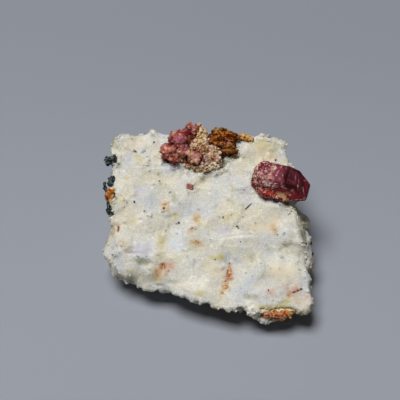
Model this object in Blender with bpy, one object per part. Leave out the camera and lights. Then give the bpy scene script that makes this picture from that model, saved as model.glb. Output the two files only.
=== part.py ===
"""Rubies in their matrix: a loose block of coarse white marble with crystals grown in its face."""

import math
from dataclasses import dataclass

import bmesh
import bpy
import numpy as np
from mathutils import Matrix, Vector, kdtree, noise

# Lengths are in millimetres, and set_down turns finished meshes into metres
MM = 0.001
GAP = 0.3
CORNER = 1.0 / math.cos(math.radians(30.0))
CENTRE_SHIFT = Vector((0.45, -0.34, 0.0))

# The block: its broad broken face slopes up to the back, its underside is flat
FACE_HEIGHT = 11.0
FACE_SLOPE = math.radians(18.0)
FACE_NORMAL = Vector((0.0, -math.sin(FACE_SLOPE), math.cos(FACE_SLOPE)))
HALF_WIDTH = 19.0
HALF_DEPTH = 17.0

# Rim of the face from the back left corner, clockwise from above: x, y, drop below the face
RIM = (
    (-18.3, 16.2, 0.0),
    (-14.4, 17.5, 0.0),
    (-11.6, 18.3, 0.0),
    (-10.3, 17.9, 0.0),
    (-3.9, 17.7, 0.0),
    (2.4, 16.8, 0.0),
    (8.2, 16.2, 0.0),
    (10.4, 17.5, 0.0),
    (12.7, 17.7, 0.0),
    (14.7, 16.3, 0.0),
    (14.6, 14.4, 0.0),
    (15.9, 11.8, 0.0),
    (15.7, 6.0, 0.0),
    (15.9, 3.4, 0.0),
    (17.1, -2.2, 0.0),
    (17.8, -5.6, 0.0),
    (18.3, -10.3, 0.0),
    (19.4, -13.4, 0.0),
    (19.0, -15.2, 0.0),
    (17.5, -16.9, 0.0),
    (14.6, -16.2, 0.0),
    (9.1, -16.2, 0.0),
    (4.9, -16.3, 0.0),
    (1.8, -16.1, 0.0),
    (-1.0, -15.2, 0.2),
    (-5.8, -13.9, 0.5),
    (-9.8, -11.9, 1.8),
    (-13.3, -11.0, 2.7),
    (-15.3, -9.9, 3.3),
    (-17.1, -8.6, 3.7),
    (-18.5, -7.8, 3.7),
    (-18.9, -5.9, 2.9),
    (-19.4, -4.5, 1.3),
    (-19.1, -2.0, 0.3),
    (-18.4, 1.0, 0.0),
    (-18.5, 4.9, 0.0),
    (-18.8, 9.1, 0.0),
    (-18.6, 13.4, 0.0),
)

# Levels of the block from the face down: share of the rim height, then how far the wall
# stands inside the rim at the front, back, left and right
FACE_LEVEL = (1.0, 1.3, 1.3, 1.3, 1.3)
RIM_LEVEL = (0.96, -0.3, -0.3, -0.3, -0.3)
BELLY_LEVEL = (0.76, 0.9, -0.1, 0.2, -1.8)
WAIST_LEVEL = (0.42, 4.8, 0.8, 0.8, -3.8)
FOOT_LEVEL = (-0.12, 8.6, 4.6, 4.2, 3.8)
FLANK_FROM = -10.5
FLANK_TO = 7.5
FLANK_FADE = 3.5

# The low ledge at the front right: a lip under the rusty seam, and a shoulder left of it,
# each as its plan outline, lower level and upper level
LEDGE_LIP = (
    ((6.8, -12.0), (8.2, -16.6), (9.7, -17.3), (11.6, -18.0), (13.9, -17.6), (15.7, -16.6), (16.4, -12.0)),
    1.9,
    3.6,
)
LEDGE_SHOULDER = (
    ((5.6, -12.5), (6.4, -16.1), (7.9, -16.9), (8.9, -16.7), (9.2, -12.5)),
    2.6,
    5.2,
)
LEDGE_TUCK = 0.94

# Marble mesh and relief
BLOCK_VOXEL = 0.5
CLEAN_VOXEL = 0.42
BLOCK_TRIANGLES = 4900
GRAIN_SIZE = 5.0
GRAIN_TILT = 0.1
GRAIN_LIFT = 0.16
GRAIN_FIELD = (48.0, 44.0, 24.0)
GRAIN_FIELD_MIDDLE = Vector((0.0, 0.0, 8.0))
FACE_ROUGHNESS = 0.28
WALL_ROUGHNESS = 0.55
ROUGHNESS_SIZE = 4.5
ROUGHNESS_OCTAVES = (0.9, 2.1, 4)
RELIEF_SEED = 7
CALM_FOOT = 1.6
FACE_TURN = (0.5, 0.8)


@dataclass(frozen=True)
class Chip:
    """A flat break that takes a corner off the block.

    Attributes:
        point: a point on the break.
        normal: its outward direction.
        centre: the middle of the corner that it takes off.
        reach: how far from there the break goes.
    """

    point: Vector
    normal: Vector
    centre: Vector
    reach: float


@dataclass(frozen=True)
class Step:
    """A ledge on the face where one cleavage sheet ends.

    Attributes:
        start: one end of the ledge, in plan.
        end: the other end. The high side is on the right going from start to end.
        rise: height of the ledge.
        run: how far the raised sheet goes before it has sunk back.
    """

    start: Vector
    end: Vector
    rise: float
    run: float


@dataclass(frozen=True)
class Hollow:
    """A dent in the face: its middle in plan, its radius and its depth."""

    middle: Vector
    radius: float
    depth: float


CHIPS = (
    Chip(Vector((-14.0, -10.6, 4.9)), Vector((-0.12, -0.73, 0.67)), Vector((-14.5, -9.5, 7.0)), 9.0),
    Chip(Vector((-17.5, -5.5, 9.0)), Vector((-0.70, -0.30, 0.64)), Vector((-19.5, -4.5, 9.0)), 8.0),
    Chip(Vector((17.2, 16.4, 12.0)), Vector((0.72, 0.45, 0.53)), Vector((15.0, 15.0, 14.0)), 6.0),
    Chip(Vector((-4.0, 17.2, 9.0)), Vector((-0.15, 0.96, -0.22)), Vector((-3.0, 18.0, 7.0)), 11.0),
    Chip(Vector((9.0, 16.6, 8.0)), Vector((0.35, 0.92, 0.15)), Vector((12.0, 17.0, 8.0)), 9.0),
    Chip(Vector((-18.6, 5.0, 5.0)), Vector((-0.94, 0.15, -0.28)), Vector((-19.0, 6.0, 4.0)), 9.0),
)
STEPS = (
    Step(Vector((-1.6, -3.1)), Vector((9.8, -2.2)), 0.55, 7.0),
    Step(Vector((3.6, -5.0)), Vector((8.8, -4.3)), 0.25, 4.0),
    Step(Vector((-9.0, 10.2)), Vector((-15.5, 7.5)), 0.4, 6.0),
    Step(Vector((-2.0, 3.6)), Vector((-9.5, 1.5)), 0.35, 5.0),
    Step(Vector((10.5, 4.2)), Vector((3.5, 6.6)), 0.35, 5.0),
    Step(Vector((-6.5, -5.2)), Vector((-0.5, -8.0)), 0.45, 5.0),
    Step(Vector((8.0, -7.5)), Vector((14.8, -8.5)), 0.45, 5.0),
)
STEP_EDGE = 0.5
STEP_ENDS = 0.2
CHIP_FADE = 0.5
HOLLOWS = (
    Hollow(Vector((-12.0, -8.2)), 1.9, 0.9),
    Hollow(Vector((-8.8, -8.6)), 0.9, 0.4),
    Hollow(Vector((-1.5, -9.2)), 2.2, 0.45),
    Hollow(Vector((3.4, -10.9)), 1.3, 0.5),
    Hollow(Vector((11.5, -6.0)), 2.4, 0.5),
    Hollow(Vector((6.5, 1.0)), 2.8, 0.35),
    Hollow(Vector((-13.5, 3.0)), 2.6, 0.35),
    Hollow(Vector((11.6, 13.4)), 2.0, 0.5),
    Hollow(Vector((2.0, 9.6)), 2.4, 0.4),
)


@dataclass(frozen=True)
class Crystal:
    """A six-sided crystal.

    Attributes:
        centre: its middle.
        axis: the way it grew.
        roll: turn about that axis, in degrees.
        girth: its radius at places along the axis, from one end to the other.
        stretch: how much wider it is one way across than the other.
        breaks: flat breaks, each its direction along, across and up, then its distance.
    """

    centre: Vector
    axis: Vector
    roll: float
    girth: tuple[tuple[float, float], ...]
    stretch: float = 1.0
    breaks: tuple[tuple[float, float, float, float], ...] = ()


@dataclass(frozen=True)
class Paint:
    """A plain finish: its sRGB colour and its roughness."""

    colour: str
    roughness: float


MARBLE = Paint("#D6D2C6", 0.55)
RUBY = Paint("#7A1630", 0.18)
CRUST = Paint("#B89A72", 0.6)
MICA = Paint("#6B3A16", 0.35)
LIMONITE = Paint("#B06A24", 0.7)
AMPHIBOLE = Paint("#2A3431", 0.35)


def face_level(y: float) -> float:
    """Height of the plain face above the rest at this depth."""
    return FACE_HEIGHT + y * math.tan(FACE_SLOPE)


def on_face(x: float, y: float, lift: float = 0.0) -> Vector:
    """The point that stands lift above the face over (x, y)."""
    return Vector((x, y, face_level(y))) + lift * FACE_NORMAL


def smooth(value: float) -> float:
    """An even ramp from 0 to 1."""
    value = min(max(value, 0.0), 1.0)
    return value * value * (3.0 - 2.0 * value)


# Side of a stubby crystal with a growth step: share of its half length, share of its radius
BARREL_SIDE = ((-0.62, 0.96), (-0.05, 1.0), (0.05, 0.95), (0.62, 0.93))
BARREL_TIP = 0.7


def barrel(length: float, radius: float, tip: float = BARREL_TIP) -> tuple:
    """Girth of a stubby crystal that narrows to both ends."""
    half = length / 2
    side = [(half * along, radius * share) for along, share in BARREL_SIDE]
    return ((-half, radius * tip), *side, (half, radius * tip))


# The large ruby lies along the face and reaches over the right edge
LARGE_RUBY = Crystal(
    on_face(13.5, 7.1, 1.35),
    Vector((0.958, -0.275, -0.085)),
    5.0,
    (
        (-5.4, 2.0),
        (-4.8, 2.7),
        (-3.6, 3.35),
        (-1.1, 3.5),
        (-1.0, 3.6),
        (0.9, 3.6),
        (1.0, 3.47),
        (3.1, 3.36),
        (4.2, 3.1),
        (5.6, 2.6),
    ),
    breaks=(
        (0.62, -0.72, 0.31, 4.15),
        (-0.66, 0.66, 0.36, 4.4),
        (-0.80, -0.45, 0.40, 5.0),
        (0.72, 0.10, 0.69, 5.0),
    ),
)

CLUSTER = (
    Crystal(on_face(-5.8, 15.2, 1.5), Vector((-0.25, -0.30, 0.92)), 12.0, barrel(4.4, 2.1)),
    Crystal(on_face(-4.0, 16.6, 1.9), Vector((0.45, 0.20, 0.87)), 40.0, barrel(3.4, 1.6)),
    Crystal(on_face(-5.3, 13.2, 1.3), Vector((0.30, -0.55, 0.78)), 25.0, barrel(3.2, 1.5)),
    Crystal(on_face(-7.8, 12.9, 1.1), Vector((-0.35, -0.15, 0.92)), 5.0, barrel(3.5, 1.75)),
    Crystal(on_face(-7.0, 11.9, 0.8), Vector((0.10, -0.60, 0.79)), 33.0, barrel(2.6, 1.25)),
    Crystal(on_face(-8.9, 12.2, 0.6), Vector((-0.75, -0.20, 0.63)), 20.0, barrel(2.0, 0.85)),
    Crystal(on_face(-3.0, 12.0, 0.8), Vector((0.15, -0.40, 0.90)), 50.0, barrel(3.0, 1.6)),
)

# Mica sheets stand on the face side by side: place, thickness, half width, height share, roll
MICA_AXIS = Vector((0.06, 0.97, 0.24))
MICA_SHEETS = (
    ((2.1, 16.8, 1.6), 0.6, 2.0, 0.95, 18.0),
    ((2.8, 16.2, 1.0), 0.9, 3.2, 0.72, 5.0),
    ((2.4, 15.3, 1.0), 1.1, 2.9, 0.66, 28.0),
    ((2.8, 14.3, 0.8), 1.2, 2.8, 0.62, 8.0),
    ((3.8, 13.2, 0.5), 1.2, 2.2, 0.62, 22.0),
    ((0.5, 15.1, 1.0), 1.6, 1.4, 0.95, 40.0),
)

# Grains that stick out of the left edge
AMPHIBOLES = {
    "amphibole_upper": Crystal(
        Vector((-19.2, 12.2, 14.5)), Vector((0.95, 0.10, 0.30)), 20.0, barrel(2.1, 0.85, 0.8)
    ),
    "amphibole_middle": Crystal(
        Vector((-19.0, 8.0, 13.1)), Vector((0.25, 0.90, 0.35)), 10.0, barrel(1.9, 0.62, 0.7)
    ),
    "amphibole_needle": Crystal(
        Vector((-20.05, 6.6, 12.9)), Vector((-0.30, 0.88, 0.36)), 0.0, barrel(1.9, 0.3, 0.5)
    ),
    "amphibole_lower": Crystal(
        Vector((-19.0, 2.7, 11.2)), Vector((-0.22, 0.92, 0.33)), 30.0, barrel(2.9, 0.68, 0.5)
    ),
}
SMALL_RUBY = Crystal(on_face(-3.8, 6.45, 0.1), Vector((0.2, -0.5, 0.84)), 15.0, barrel(1.2, 0.56, 0.8))

# Granular pieces, each a run of overlapping balls: centre and radius
CRUST_BALLS = (
    (on_face(-2.4, 17.3, 1.9), 1.1),
    (on_face(-1.8, 16.4, 1.7), 1.5),
    (on_face(-1.3, 15.1, 1.4), 1.6),
    (on_face(-2.6, 14.1, 1.2), 1.5),
    (on_face(-0.8, 13.8, 1.0), 1.6),
    (on_face(0.5, 13.3, 0.8), 1.6),
    (on_face(1.1, 12.2, 0.5), 1.5),
    (on_face(-0.4, 12.2, 0.7), 1.5),
    (on_face(1.7, 11.1, 0.2), 1.1),
    (on_face(0.4, 10.6, 0.2), 1.1),
    (on_face(-1.0, 10.2, 0.2), 1.1),
    (on_face(-2.6, 10.3, 0.1), 1.0),
    (on_face(-4.1, 10.9, 0.1), 0.9),
    (on_face(-4.9, 11.6, 0.2), 0.8),
)
TAIL_BALLS = (
    (on_face(6.6, 16.4, 0.2), 0.65),
    (on_face(7.3, 16.2, 0.2), 0.65),
    (on_face(8.1, 16.0, 0.1), 0.5),
)
LIMONITE_BALLS = (
    (Vector((-19.0, 5.9, 12.6)), 0.75),
    (Vector((-19.3, 5.1, 12.0)), 0.85),
    (Vector((-18.9, 4.5, 11.8)), 0.6),
)
SEAM_BALLS = (
    (Vector((9.4, -16.3, 4.5)), 0.65),
    (Vector((10.5, -16.6, 4.4)), 0.75),
    (Vector((11.8, -16.7, 4.4)), 0.8),
    (Vector((13.1, -16.6, 4.4)), 0.8),
    (Vector((14.3, -16.2, 4.4)), 0.75),
    (Vector((15.1, -15.9, 4.4)), 0.6),
)
BALL_VOXEL = 0.2
BALL_ROUGHNESS = 0.28
BALL_GRAIN = 0.8
BALL_OCTAVES = (0.9, 2.0, 3)
CRUST_TRIANGLES = 700
TAIL_TRIANGLES = 160
LIMONITE_TRIANGLES = 220
SEAM_TRIANGLES = 400
ROOM_TRIANGLES = 260
ROOM_GAP = 0.45


def mesh_object(name: str, mesh: bpy.types.Mesh) -> bpy.types.Object:
    """Links a mesh to the scene as an object of that name."""
    made = bpy.data.objects.new(name, mesh)
    bpy.context.scene.collection.objects.link(made)
    return made


def remove(unwanted: bpy.types.Object) -> None:
    """Takes a helper object and its mesh out of the file."""
    mesh = unwanted.data
    bpy.data.objects.remove(unwanted)
    bpy.data.meshes.remove(mesh)


def applied(working: bpy.types.Object) -> bpy.types.Mesh:
    """The object's mesh with its modifiers applied. The object itself is removed."""
    graph = bpy.context.evaluated_depsgraph_get()
    mesh = bpy.data.meshes.new_from_object(working.evaluated_get(graph))
    remove(working)
    return mesh


def remeshed(mesh: bpy.types.Mesh, voxel: float) -> bpy.types.Mesh:
    """Fuses overlapping shapes into one even closed skin."""
    working = mesh_object("remesh", mesh)
    fuse = working.modifiers.new("Remesh", "REMESH")
    fuse.mode = "VOXEL"
    fuse.voxel_size = voxel
    return applied(working)


def reduced(mesh: bpy.types.Mesh, triangles: int) -> bpy.types.Mesh:
    """Collapses edges until about this many triangles are left."""
    working = mesh_object("reduce", mesh)
    mesh.calc_loop_triangles()
    collapse = working.modifiers.new("Decimate", "DECIMATE")
    collapse.ratio = min(triangles / len(mesh.loop_triangles), 1.0)
    collapse.use_collapse_triangulate = True
    return applied(working)


def joined(parts: list[bpy.types.Mesh]) -> bpy.types.Mesh:
    """Unites closed shapes that overlap into one solid."""
    helpers = [mesh_object("joined", mesh) for mesh in parts]
    whole = helpers[0]
    for other in helpers[1:]:
        union = whole.modifiers.new("Union", "BOOLEAN")
        union.operation = "UNION"
        union.object = other
    mesh = applied(whole)
    for other in helpers[1:]:
        remove(other)
    return mesh


def lofted(rings: list[list[Vector]]) -> bpy.types.Mesh:
    """A closed skin over matched rings of points, with a flat cap at each end."""
    shape = bmesh.new()
    loops = [[shape.verts.new(point) for point in ring] for ring in rings]
    for upper, lower in zip(loops, loops[1:]):
        for index in range(len(upper)):
            after = (index + 1) % len(upper)
            shape.faces.new((upper[index], upper[after], lower[after], lower[index]))
    shape.faces.new(loops[0])
    shape.faces.new(loops[-1])
    bmesh.ops.recalc_face_normals(shape, faces=shape.faces)
    mesh = bpy.data.meshes.new("loft")
    shape.to_mesh(mesh)
    shape.free()
    return mesh


def break_off(mesh: bpy.types.Mesh, point: Vector, normal: Vector) -> None:
    """Takes off what lies beyond a plane and closes the break with a flat face."""
    shape = bmesh.new()
    shape.from_mesh(mesh)
    everything = shape.verts[:] + shape.edges[:] + shape.faces[:]
    bmesh.ops.bisect_plane(shape, geom=everything, plane_co=point, plane_no=normal, clear_outer=True)
    edges = [edge for edge in shape.edges if edge.is_boundary]
    bmesh.ops.contextual_create(shape, geom=edges)
    bmesh.ops.recalc_face_normals(shape, faces=shape.faces)
    shape.to_mesh(mesh)
    shape.free()


def crystal_mesh(crystal: Crystal, grow: float = 0.0) -> bpy.types.Mesh:
    """The crystal's solid, or with grow the room that it needs in what it sits in."""
    axis = crystal.axis.normalized()
    across = axis.cross(FACE_NORMAL).normalized()
    up = across.cross(axis)
    last = len(crystal.girth) - 1
    rings = []
    for place, (along, radius) in enumerate(crystal.girth):
        reach = along + grow * ((place == last) - (place == 0))
        ring = []
        for corner in range(6):
            angle = math.radians(crystal.roll + 60 * corner)
            wide = (radius + grow * CORNER) * math.cos(angle)
            deep = (radius * crystal.stretch + grow * CORNER) * math.sin(angle)
            ring.append(crystal.centre + axis * reach + across * wide + up * deep)
        rings.append(ring)
    mesh = lofted(rings)
    for along, sideways, upward, distance in crystal.breaks:
        normal = (axis * along + across * sideways + up * upward).normalized()
        break_off(mesh, crystal.centre + normal * (distance + grow), normal)
    return mesh


def ball_run(balls: tuple, triangles: int, grow: float = 0.0) -> bpy.types.Mesh:
    """A granular lump along a run of balls, with crumbly relief."""
    shape = bmesh.new()
    for centre, radius in balls:
        bmesh.ops.create_icosphere(
            shape, subdivisions=3, radius=radius + grow, matrix=Matrix.Translation(centre)
        )
    mesh = bpy.data.meshes.new("balls")
    shape.to_mesh(mesh)
    shape.free()
    mesh = remeshed(mesh, BALL_VOXEL)
    moved = []
    for vertex in mesh.vertices:
        rough = noise.fractal(vertex.co / BALL_GRAIN, *BALL_OCTAVES)
        moved.append(vertex.co + vertex.normal * rough * BALL_ROUGHNESS)
    mesh.vertices.foreach_set("co", np.array(moved).ravel())
    return reduced(remeshed(mesh, BALL_VOXEL), triangles)


def flank_share(y: float) -> float:
    """How much of the right flank's bulge there is at this depth."""
    return smooth((y - FLANK_FROM) / FLANK_FADE) * smooth((FLANK_TO - y) / FLANK_FADE)


def level_ring(level: tuple) -> list[Vector]:
    """The block's outline at one level, worked out from the rim."""
    share, front, back, left, right = level
    ring = []
    for x, y, drop in RIM:
        away = Vector((x / HALF_WIDTH**2, y / HALF_DEPTH**2)).normalized()
        bulge = right * flank_share(y) if right < 0 else right
        inset = front * max(-away.y, 0) + back * max(away.y, 0)
        inset += left * max(-away.x, 0) + bulge * max(away.x, 0)
        plan = Vector((x, y)) - away * inset
        height = face_level(plan.y) if share == FACE_LEVEL[0] else face_level(y) - drop
        ring.append(Vector((plan.x, plan.y, height * share)))
    return ring


def slab(ledge: tuple) -> bpy.types.Mesh:
    """A low shelf that tucks in slightly below."""
    plan, foot, top = ledge
    upper = [Vector((x, y, top)) for x, y in plan]
    lower = [Vector((x, y * LEDGE_TUCK, foot)) for x, y in plan]
    return lofted([upper, lower])


def block_form() -> bpy.types.Mesh:
    """The plain block with the ledge at its front right, in one skin."""
    levels = (FACE_LEVEL, RIM_LEVEL, BELLY_LEVEL, WAIST_LEVEL, FOOT_LEVEL)
    block = lofted([level_ring(level) for level in levels])
    whole = bmesh.new()
    whole.from_mesh(block)
    whole.from_mesh(slab(LEDGE_LIP))
    whole.from_mesh(slab(LEDGE_SHOULDER))
    whole.to_mesh(block)
    whole.free()
    return remeshed(block, BLOCK_VOXEL)


class Relief:
    """The broken surface of the marble: cleavage faces of single grains, ledges, dents and chips."""

    def __init__(self) -> None:
        """Scatters the calcite grains and gives each its own cleavage direction."""
        chance = np.random.default_rng(RELIEF_SEED)
        half = np.array(GRAIN_FIELD) / 2
        count = int(np.prod(GRAIN_FIELD) / GRAIN_SIZE**3)
        spread = chance.uniform(-half, half, (count, 3))
        self.middles = [Vector(place) + GRAIN_FIELD_MIDDLE for place in spread]
        self.tilts = [Vector(tilt) for tilt in chance.normal(0.0, GRAIN_TILT, (count, 3))]
        self.lifts = chance.uniform(-GRAIN_LIFT, GRAIN_LIFT, count)
        self.grains = kdtree.KDTree(count)
        for index, middle in enumerate(self.middles):
            self.grains.insert(middle, index)
        self.grains.balance()

    def facet(self, point: Vector) -> float:
        """How far the cleavage face of the grain here stands out."""
        middle, index, _ = self.grains.find(point)
        return self.lifts[index] + self.tilts[index].dot(point - middle)

    def ledge(self, point: Vector) -> float:
        """How far the raised cleavage sheets on the face stand out here."""
        height = 0.0
        plan = point.xy
        for step in STEPS:
            line = step.end - step.start
            along = (plan - step.start).dot(line) / line.length_squared
            beyond = Vector((line.y, -line.x)).normalized().dot(plan - step.start)
            ends = smooth(along / STEP_ENDS) * smooth((1 - along) / STEP_ENDS)
            edge = smooth(beyond / STEP_EDGE + 0.5) * smooth(1 - beyond / step.run)
            height += step.rise * ends * edge
        return height

    def dent(self, point: Vector) -> float:
        """How deep the face is dented here."""
        depth = 0.0
        for hollow in HOLLOWS:
            share = 1 - (point.xy - hollow.middle).length / hollow.radius
            depth += hollow.depth * smooth(share)
        return depth

    def broken(self, point: Vector, normal: Vector) -> Vector:
        """Where a point of the plain block comes to lie on the broken one."""
        calm = smooth(point.z / CALM_FOOT)
        start, full = FACE_TURN
        facing = smooth((normal.dot(FACE_NORMAL) - start) / (full - start))
        rough = FACE_ROUGHNESS * facing + WALL_ROUGHNESS * (1 - facing)
        rough *= noise.fractal(point / ROUGHNESS_SIZE, *ROUGHNESS_OCTAVES)
        out = (rough + self.facet(point)) * calm
        out += (self.ledge(point) - self.dent(point)) * facing
        moved = point + normal * out
        for chip in CHIPS:
            outward = chip.normal.normalized()
            nearness = 1 - (moved - chip.centre).length / chip.reach
            over = max((moved - chip.point).dot(outward), 0.0)
            moved -= outward * over * smooth(nearness / CHIP_FADE)
        return moved


def marble_mesh() -> bpy.types.Mesh:
    """The marble block before the crystals' pockets are cut, standing on its flat underside."""
    mesh = block_form()
    relief = Relief()
    moved = [relief.broken(vertex.co.copy(), vertex.normal.copy()) for vertex in mesh.vertices]
    mesh.vertices.foreach_set("co", np.array(moved).ravel())
    mesh = reduced(remeshed(mesh, CLEAN_VOXEL), BLOCK_TRIANGLES)
    break_off(mesh, Vector((0.0, 0.0, 0.0)), Vector((0.0, 0.0, -1.0)))
    return mesh


def linear(colour: str) -> tuple:
    """A hex sRGB colour as linear red, green, blue and alpha."""
    values = [int(colour[place : place + 2], 16) / 255 for place in (1, 3, 5)]
    bent = [value / 12.92 if value <= 0.04045 else ((value + 0.055) / 1.055) ** 2.4 for value in values]
    return (*bent, 1.0)


def set_down(name: str, mesh: bpy.types.Mesh, origin: Vector) -> bpy.types.Object:
    """Makes an object in metres of a mesh, with its origin at that point of the specimen."""
    mesh.transform(Matrix.Scale(MM, 4) @ Matrix.Translation(-origin))
    made = mesh_object(name, mesh)
    made.location = (origin + CENTRE_SHIFT) * MM
    return made


def piece(name: str, mesh: bpy.types.Mesh, paint: Paint, origin: Vector) -> bpy.types.Object:
    """Makes a finished piece with its own material."""
    made = set_down(name, mesh, origin)
    material = bpy.data.materials.new(name)
    material.use_nodes = True
    surface = material.node_tree.nodes["Principled BSDF"]
    surface.inputs["Base Color"].default_value = linear(paint.colour)
    surface.inputs["Roughness"].default_value = paint.roughness
    surface.inputs["Metallic"].default_value = 0.0
    mesh.materials.clear()
    mesh.materials.append(material)
    return made


def cut(body: bpy.types.Object, room: bpy.types.Mesh) -> None:
    """Cuts the room that another piece needs out of this one."""
    cutter = set_down("room_in_" + body.name, room, Vector())
    cutter.hide_render = True
    cutter.display_type = "WIRE"
    pocket = body.modifiers.new("Pocket", "BOOLEAN")
    pocket.operation = "DIFFERENCE"
    pocket.object = cutter


def mica_sheets() -> list[Crystal]:
    """The sheets of the mica mass as flat six-sided plates."""
    sheets = []
    for place, thickness, radius, stretch, roll in MICA_SHEETS:
        half = thickness / 2
        girth = ((-half, radius), (half, radius * 0.95))
        sheets.append(Crystal(on_face(*place), MICA_AXIS, roll, girth, stretch))
    return sheets


def main() -> None:
    """Builds the block and everything that grew in it."""
    for leftover in list(bpy.data.objects):
        bpy.data.objects.remove(leftover)

    marble = piece("marble_matrix", marble_mesh(), MARBLE, Vector())

    lone_crystals = {"ruby_crystal": (LARGE_RUBY, RUBY), "ruby_grain": (SMALL_RUBY, RUBY)}
    lone_crystals |= {name: (crystal, AMPHIBOLE) for name, crystal in AMPHIBOLES.items()}
    for name, (crystal, paint) in lone_crystals.items():
        piece(name, crystal_mesh(crystal), paint, crystal.centre)
        cut(marble, crystal_mesh(crystal, GAP))

    sheets = mica_sheets()
    piece("ruby_cluster", joined([crystal_mesh(each) for each in CLUSTER]), RUBY, CLUSTER[0].centre)
    piece("phlogopite_mass", joined([crystal_mesh(each) for each in sheets]), MICA, sheets[0].centre)
    crust = piece("mica_crust", ball_run(CRUST_BALLS, CRUST_TRIANGLES), CRUST, CRUST_BALLS[0][0])
    cut(marble, ball_run(CRUST_BALLS, ROOM_TRIANGLES, ROOM_GAP))
    for neighbour in (*CLUSTER, *sheets):
        cut(marble, crystal_mesh(neighbour, GAP))
        cut(crust, crystal_mesh(neighbour, GAP))

    for name, balls, triangles in (
        ("limonite_tail", TAIL_BALLS, TAIL_TRIANGLES),
        ("limonite_grain", LIMONITE_BALLS, LIMONITE_TRIANGLES),
        ("limonite_seam", SEAM_BALLS, SEAM_TRIANGLES),
    ):
        piece(name, ball_run(balls, triangles), LIMONITE, balls[0][0])
        cut(marble, ball_run(balls, ROOM_TRIANGLES, ROOM_GAP))


main()
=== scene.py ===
"""A loose block of coarse white marble with rubies, mica and dark grains grown in its face."""

import logging
import math
from collections.abc import Iterable
from dataclasses import dataclass
from enum import Enum

import bmesh
import bpy
import numpy as np
from mathutils import Matrix, Vector, kdtree, noise
from mathutils.bvhtree import BVHTree


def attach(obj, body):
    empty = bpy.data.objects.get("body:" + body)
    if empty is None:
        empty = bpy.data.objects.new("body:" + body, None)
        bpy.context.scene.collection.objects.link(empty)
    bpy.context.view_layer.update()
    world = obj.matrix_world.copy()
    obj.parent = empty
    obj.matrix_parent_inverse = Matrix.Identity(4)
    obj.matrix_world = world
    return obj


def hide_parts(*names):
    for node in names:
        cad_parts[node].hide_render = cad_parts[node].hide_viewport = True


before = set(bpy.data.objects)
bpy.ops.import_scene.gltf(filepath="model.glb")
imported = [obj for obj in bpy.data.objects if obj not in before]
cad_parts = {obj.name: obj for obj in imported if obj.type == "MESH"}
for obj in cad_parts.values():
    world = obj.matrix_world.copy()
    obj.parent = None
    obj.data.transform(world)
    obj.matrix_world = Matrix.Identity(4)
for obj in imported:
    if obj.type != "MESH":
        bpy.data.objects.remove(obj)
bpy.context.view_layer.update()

BODY = "root"

Triple = tuple[float, float, float]
Mesh = bpy.types.Mesh
Socket = bpy.types.NodeSocket
Outputs = bpy.types.bpy_prop_collection

# Meshes are worked in millimetres and turned into metres when they are set down
MM = 0.001
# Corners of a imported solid's triangles that lie closer than this are one, in millimetres
JOIN = 1e-3

# The broad broken face slopes up to the back
FACE_SLOPE = math.radians(18.0)
FACE_NORMAL = np.array((0.0, -math.sin(FACE_SLOPE), math.cos(FACE_SLOPE)))
FACE_UPHILL = np.array((0.0, math.cos(FACE_SLOPE), math.sin(FACE_SLOPE)))


def linear(colour: str) -> tuple[float, float, float, float]:
    """A hex sRGB colour as linear red, green, blue and alpha."""
    values = [int(colour[place : place + 2], 16) / 255 for place in (1, 3, 5)]
    bent = [value / 12.92 if value <= 0.04045 else ((value + 0.055) / 1.055) ** 2.4 for value in values]
    return (*bent, 1.0)


def smooth(value: np.ndarray) -> np.ndarray:
    """An even ramp from 0 to 1."""
    value = np.clip(value, 0.0, 1.0)
    return value * value * (3.0 - 2.0 * value)


def unit(vector: tuple | np.ndarray) -> np.ndarray:
    """The direction of a vector."""
    vector = np.asarray(vector, dtype=float)
    return vector / np.linalg.norm(vector)


def rough(points: np.ndarray, size: float, octaves: int = 3, offset: float = 0.0) -> np.ndarray:
    """Soft random relief between about -1 and 1.

    Args:
        points: places in millimetres.
        size: width of the coarsest lumps in millimetres.
        octaves: how many finer layers there are.
        offset: moves the pattern, so that two uses differ.
    Returns: one value for each point.
    """
    places = (points / size + offset).tolist()
    return np.array([noise.fractal(place, 1.0, 2.0, octaves) for place in places])


def beside(points: np.ndarray, start: tuple, end: tuple, ease: float) -> tuple[np.ndarray, np.ndarray]:
    """How points lie against a line in plan.

    Args:
        points: places in millimetres.
        start: one end of the line.
        end: its other end.
        ease: share of its length over which each end fades.
    Returns: how far they lie to its right, and 1 beside its middle with 0 beyond its ends.
    """
    line = np.subtract(end, start)
    length = np.linalg.norm(line)
    plan = points[:, :2] - start
    along = plan @ line / length**2
    right = plan @ np.array((line[1], -line[0])) / length
    return right, smooth(along / ease) * smooth((1 - along) / ease)


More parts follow.
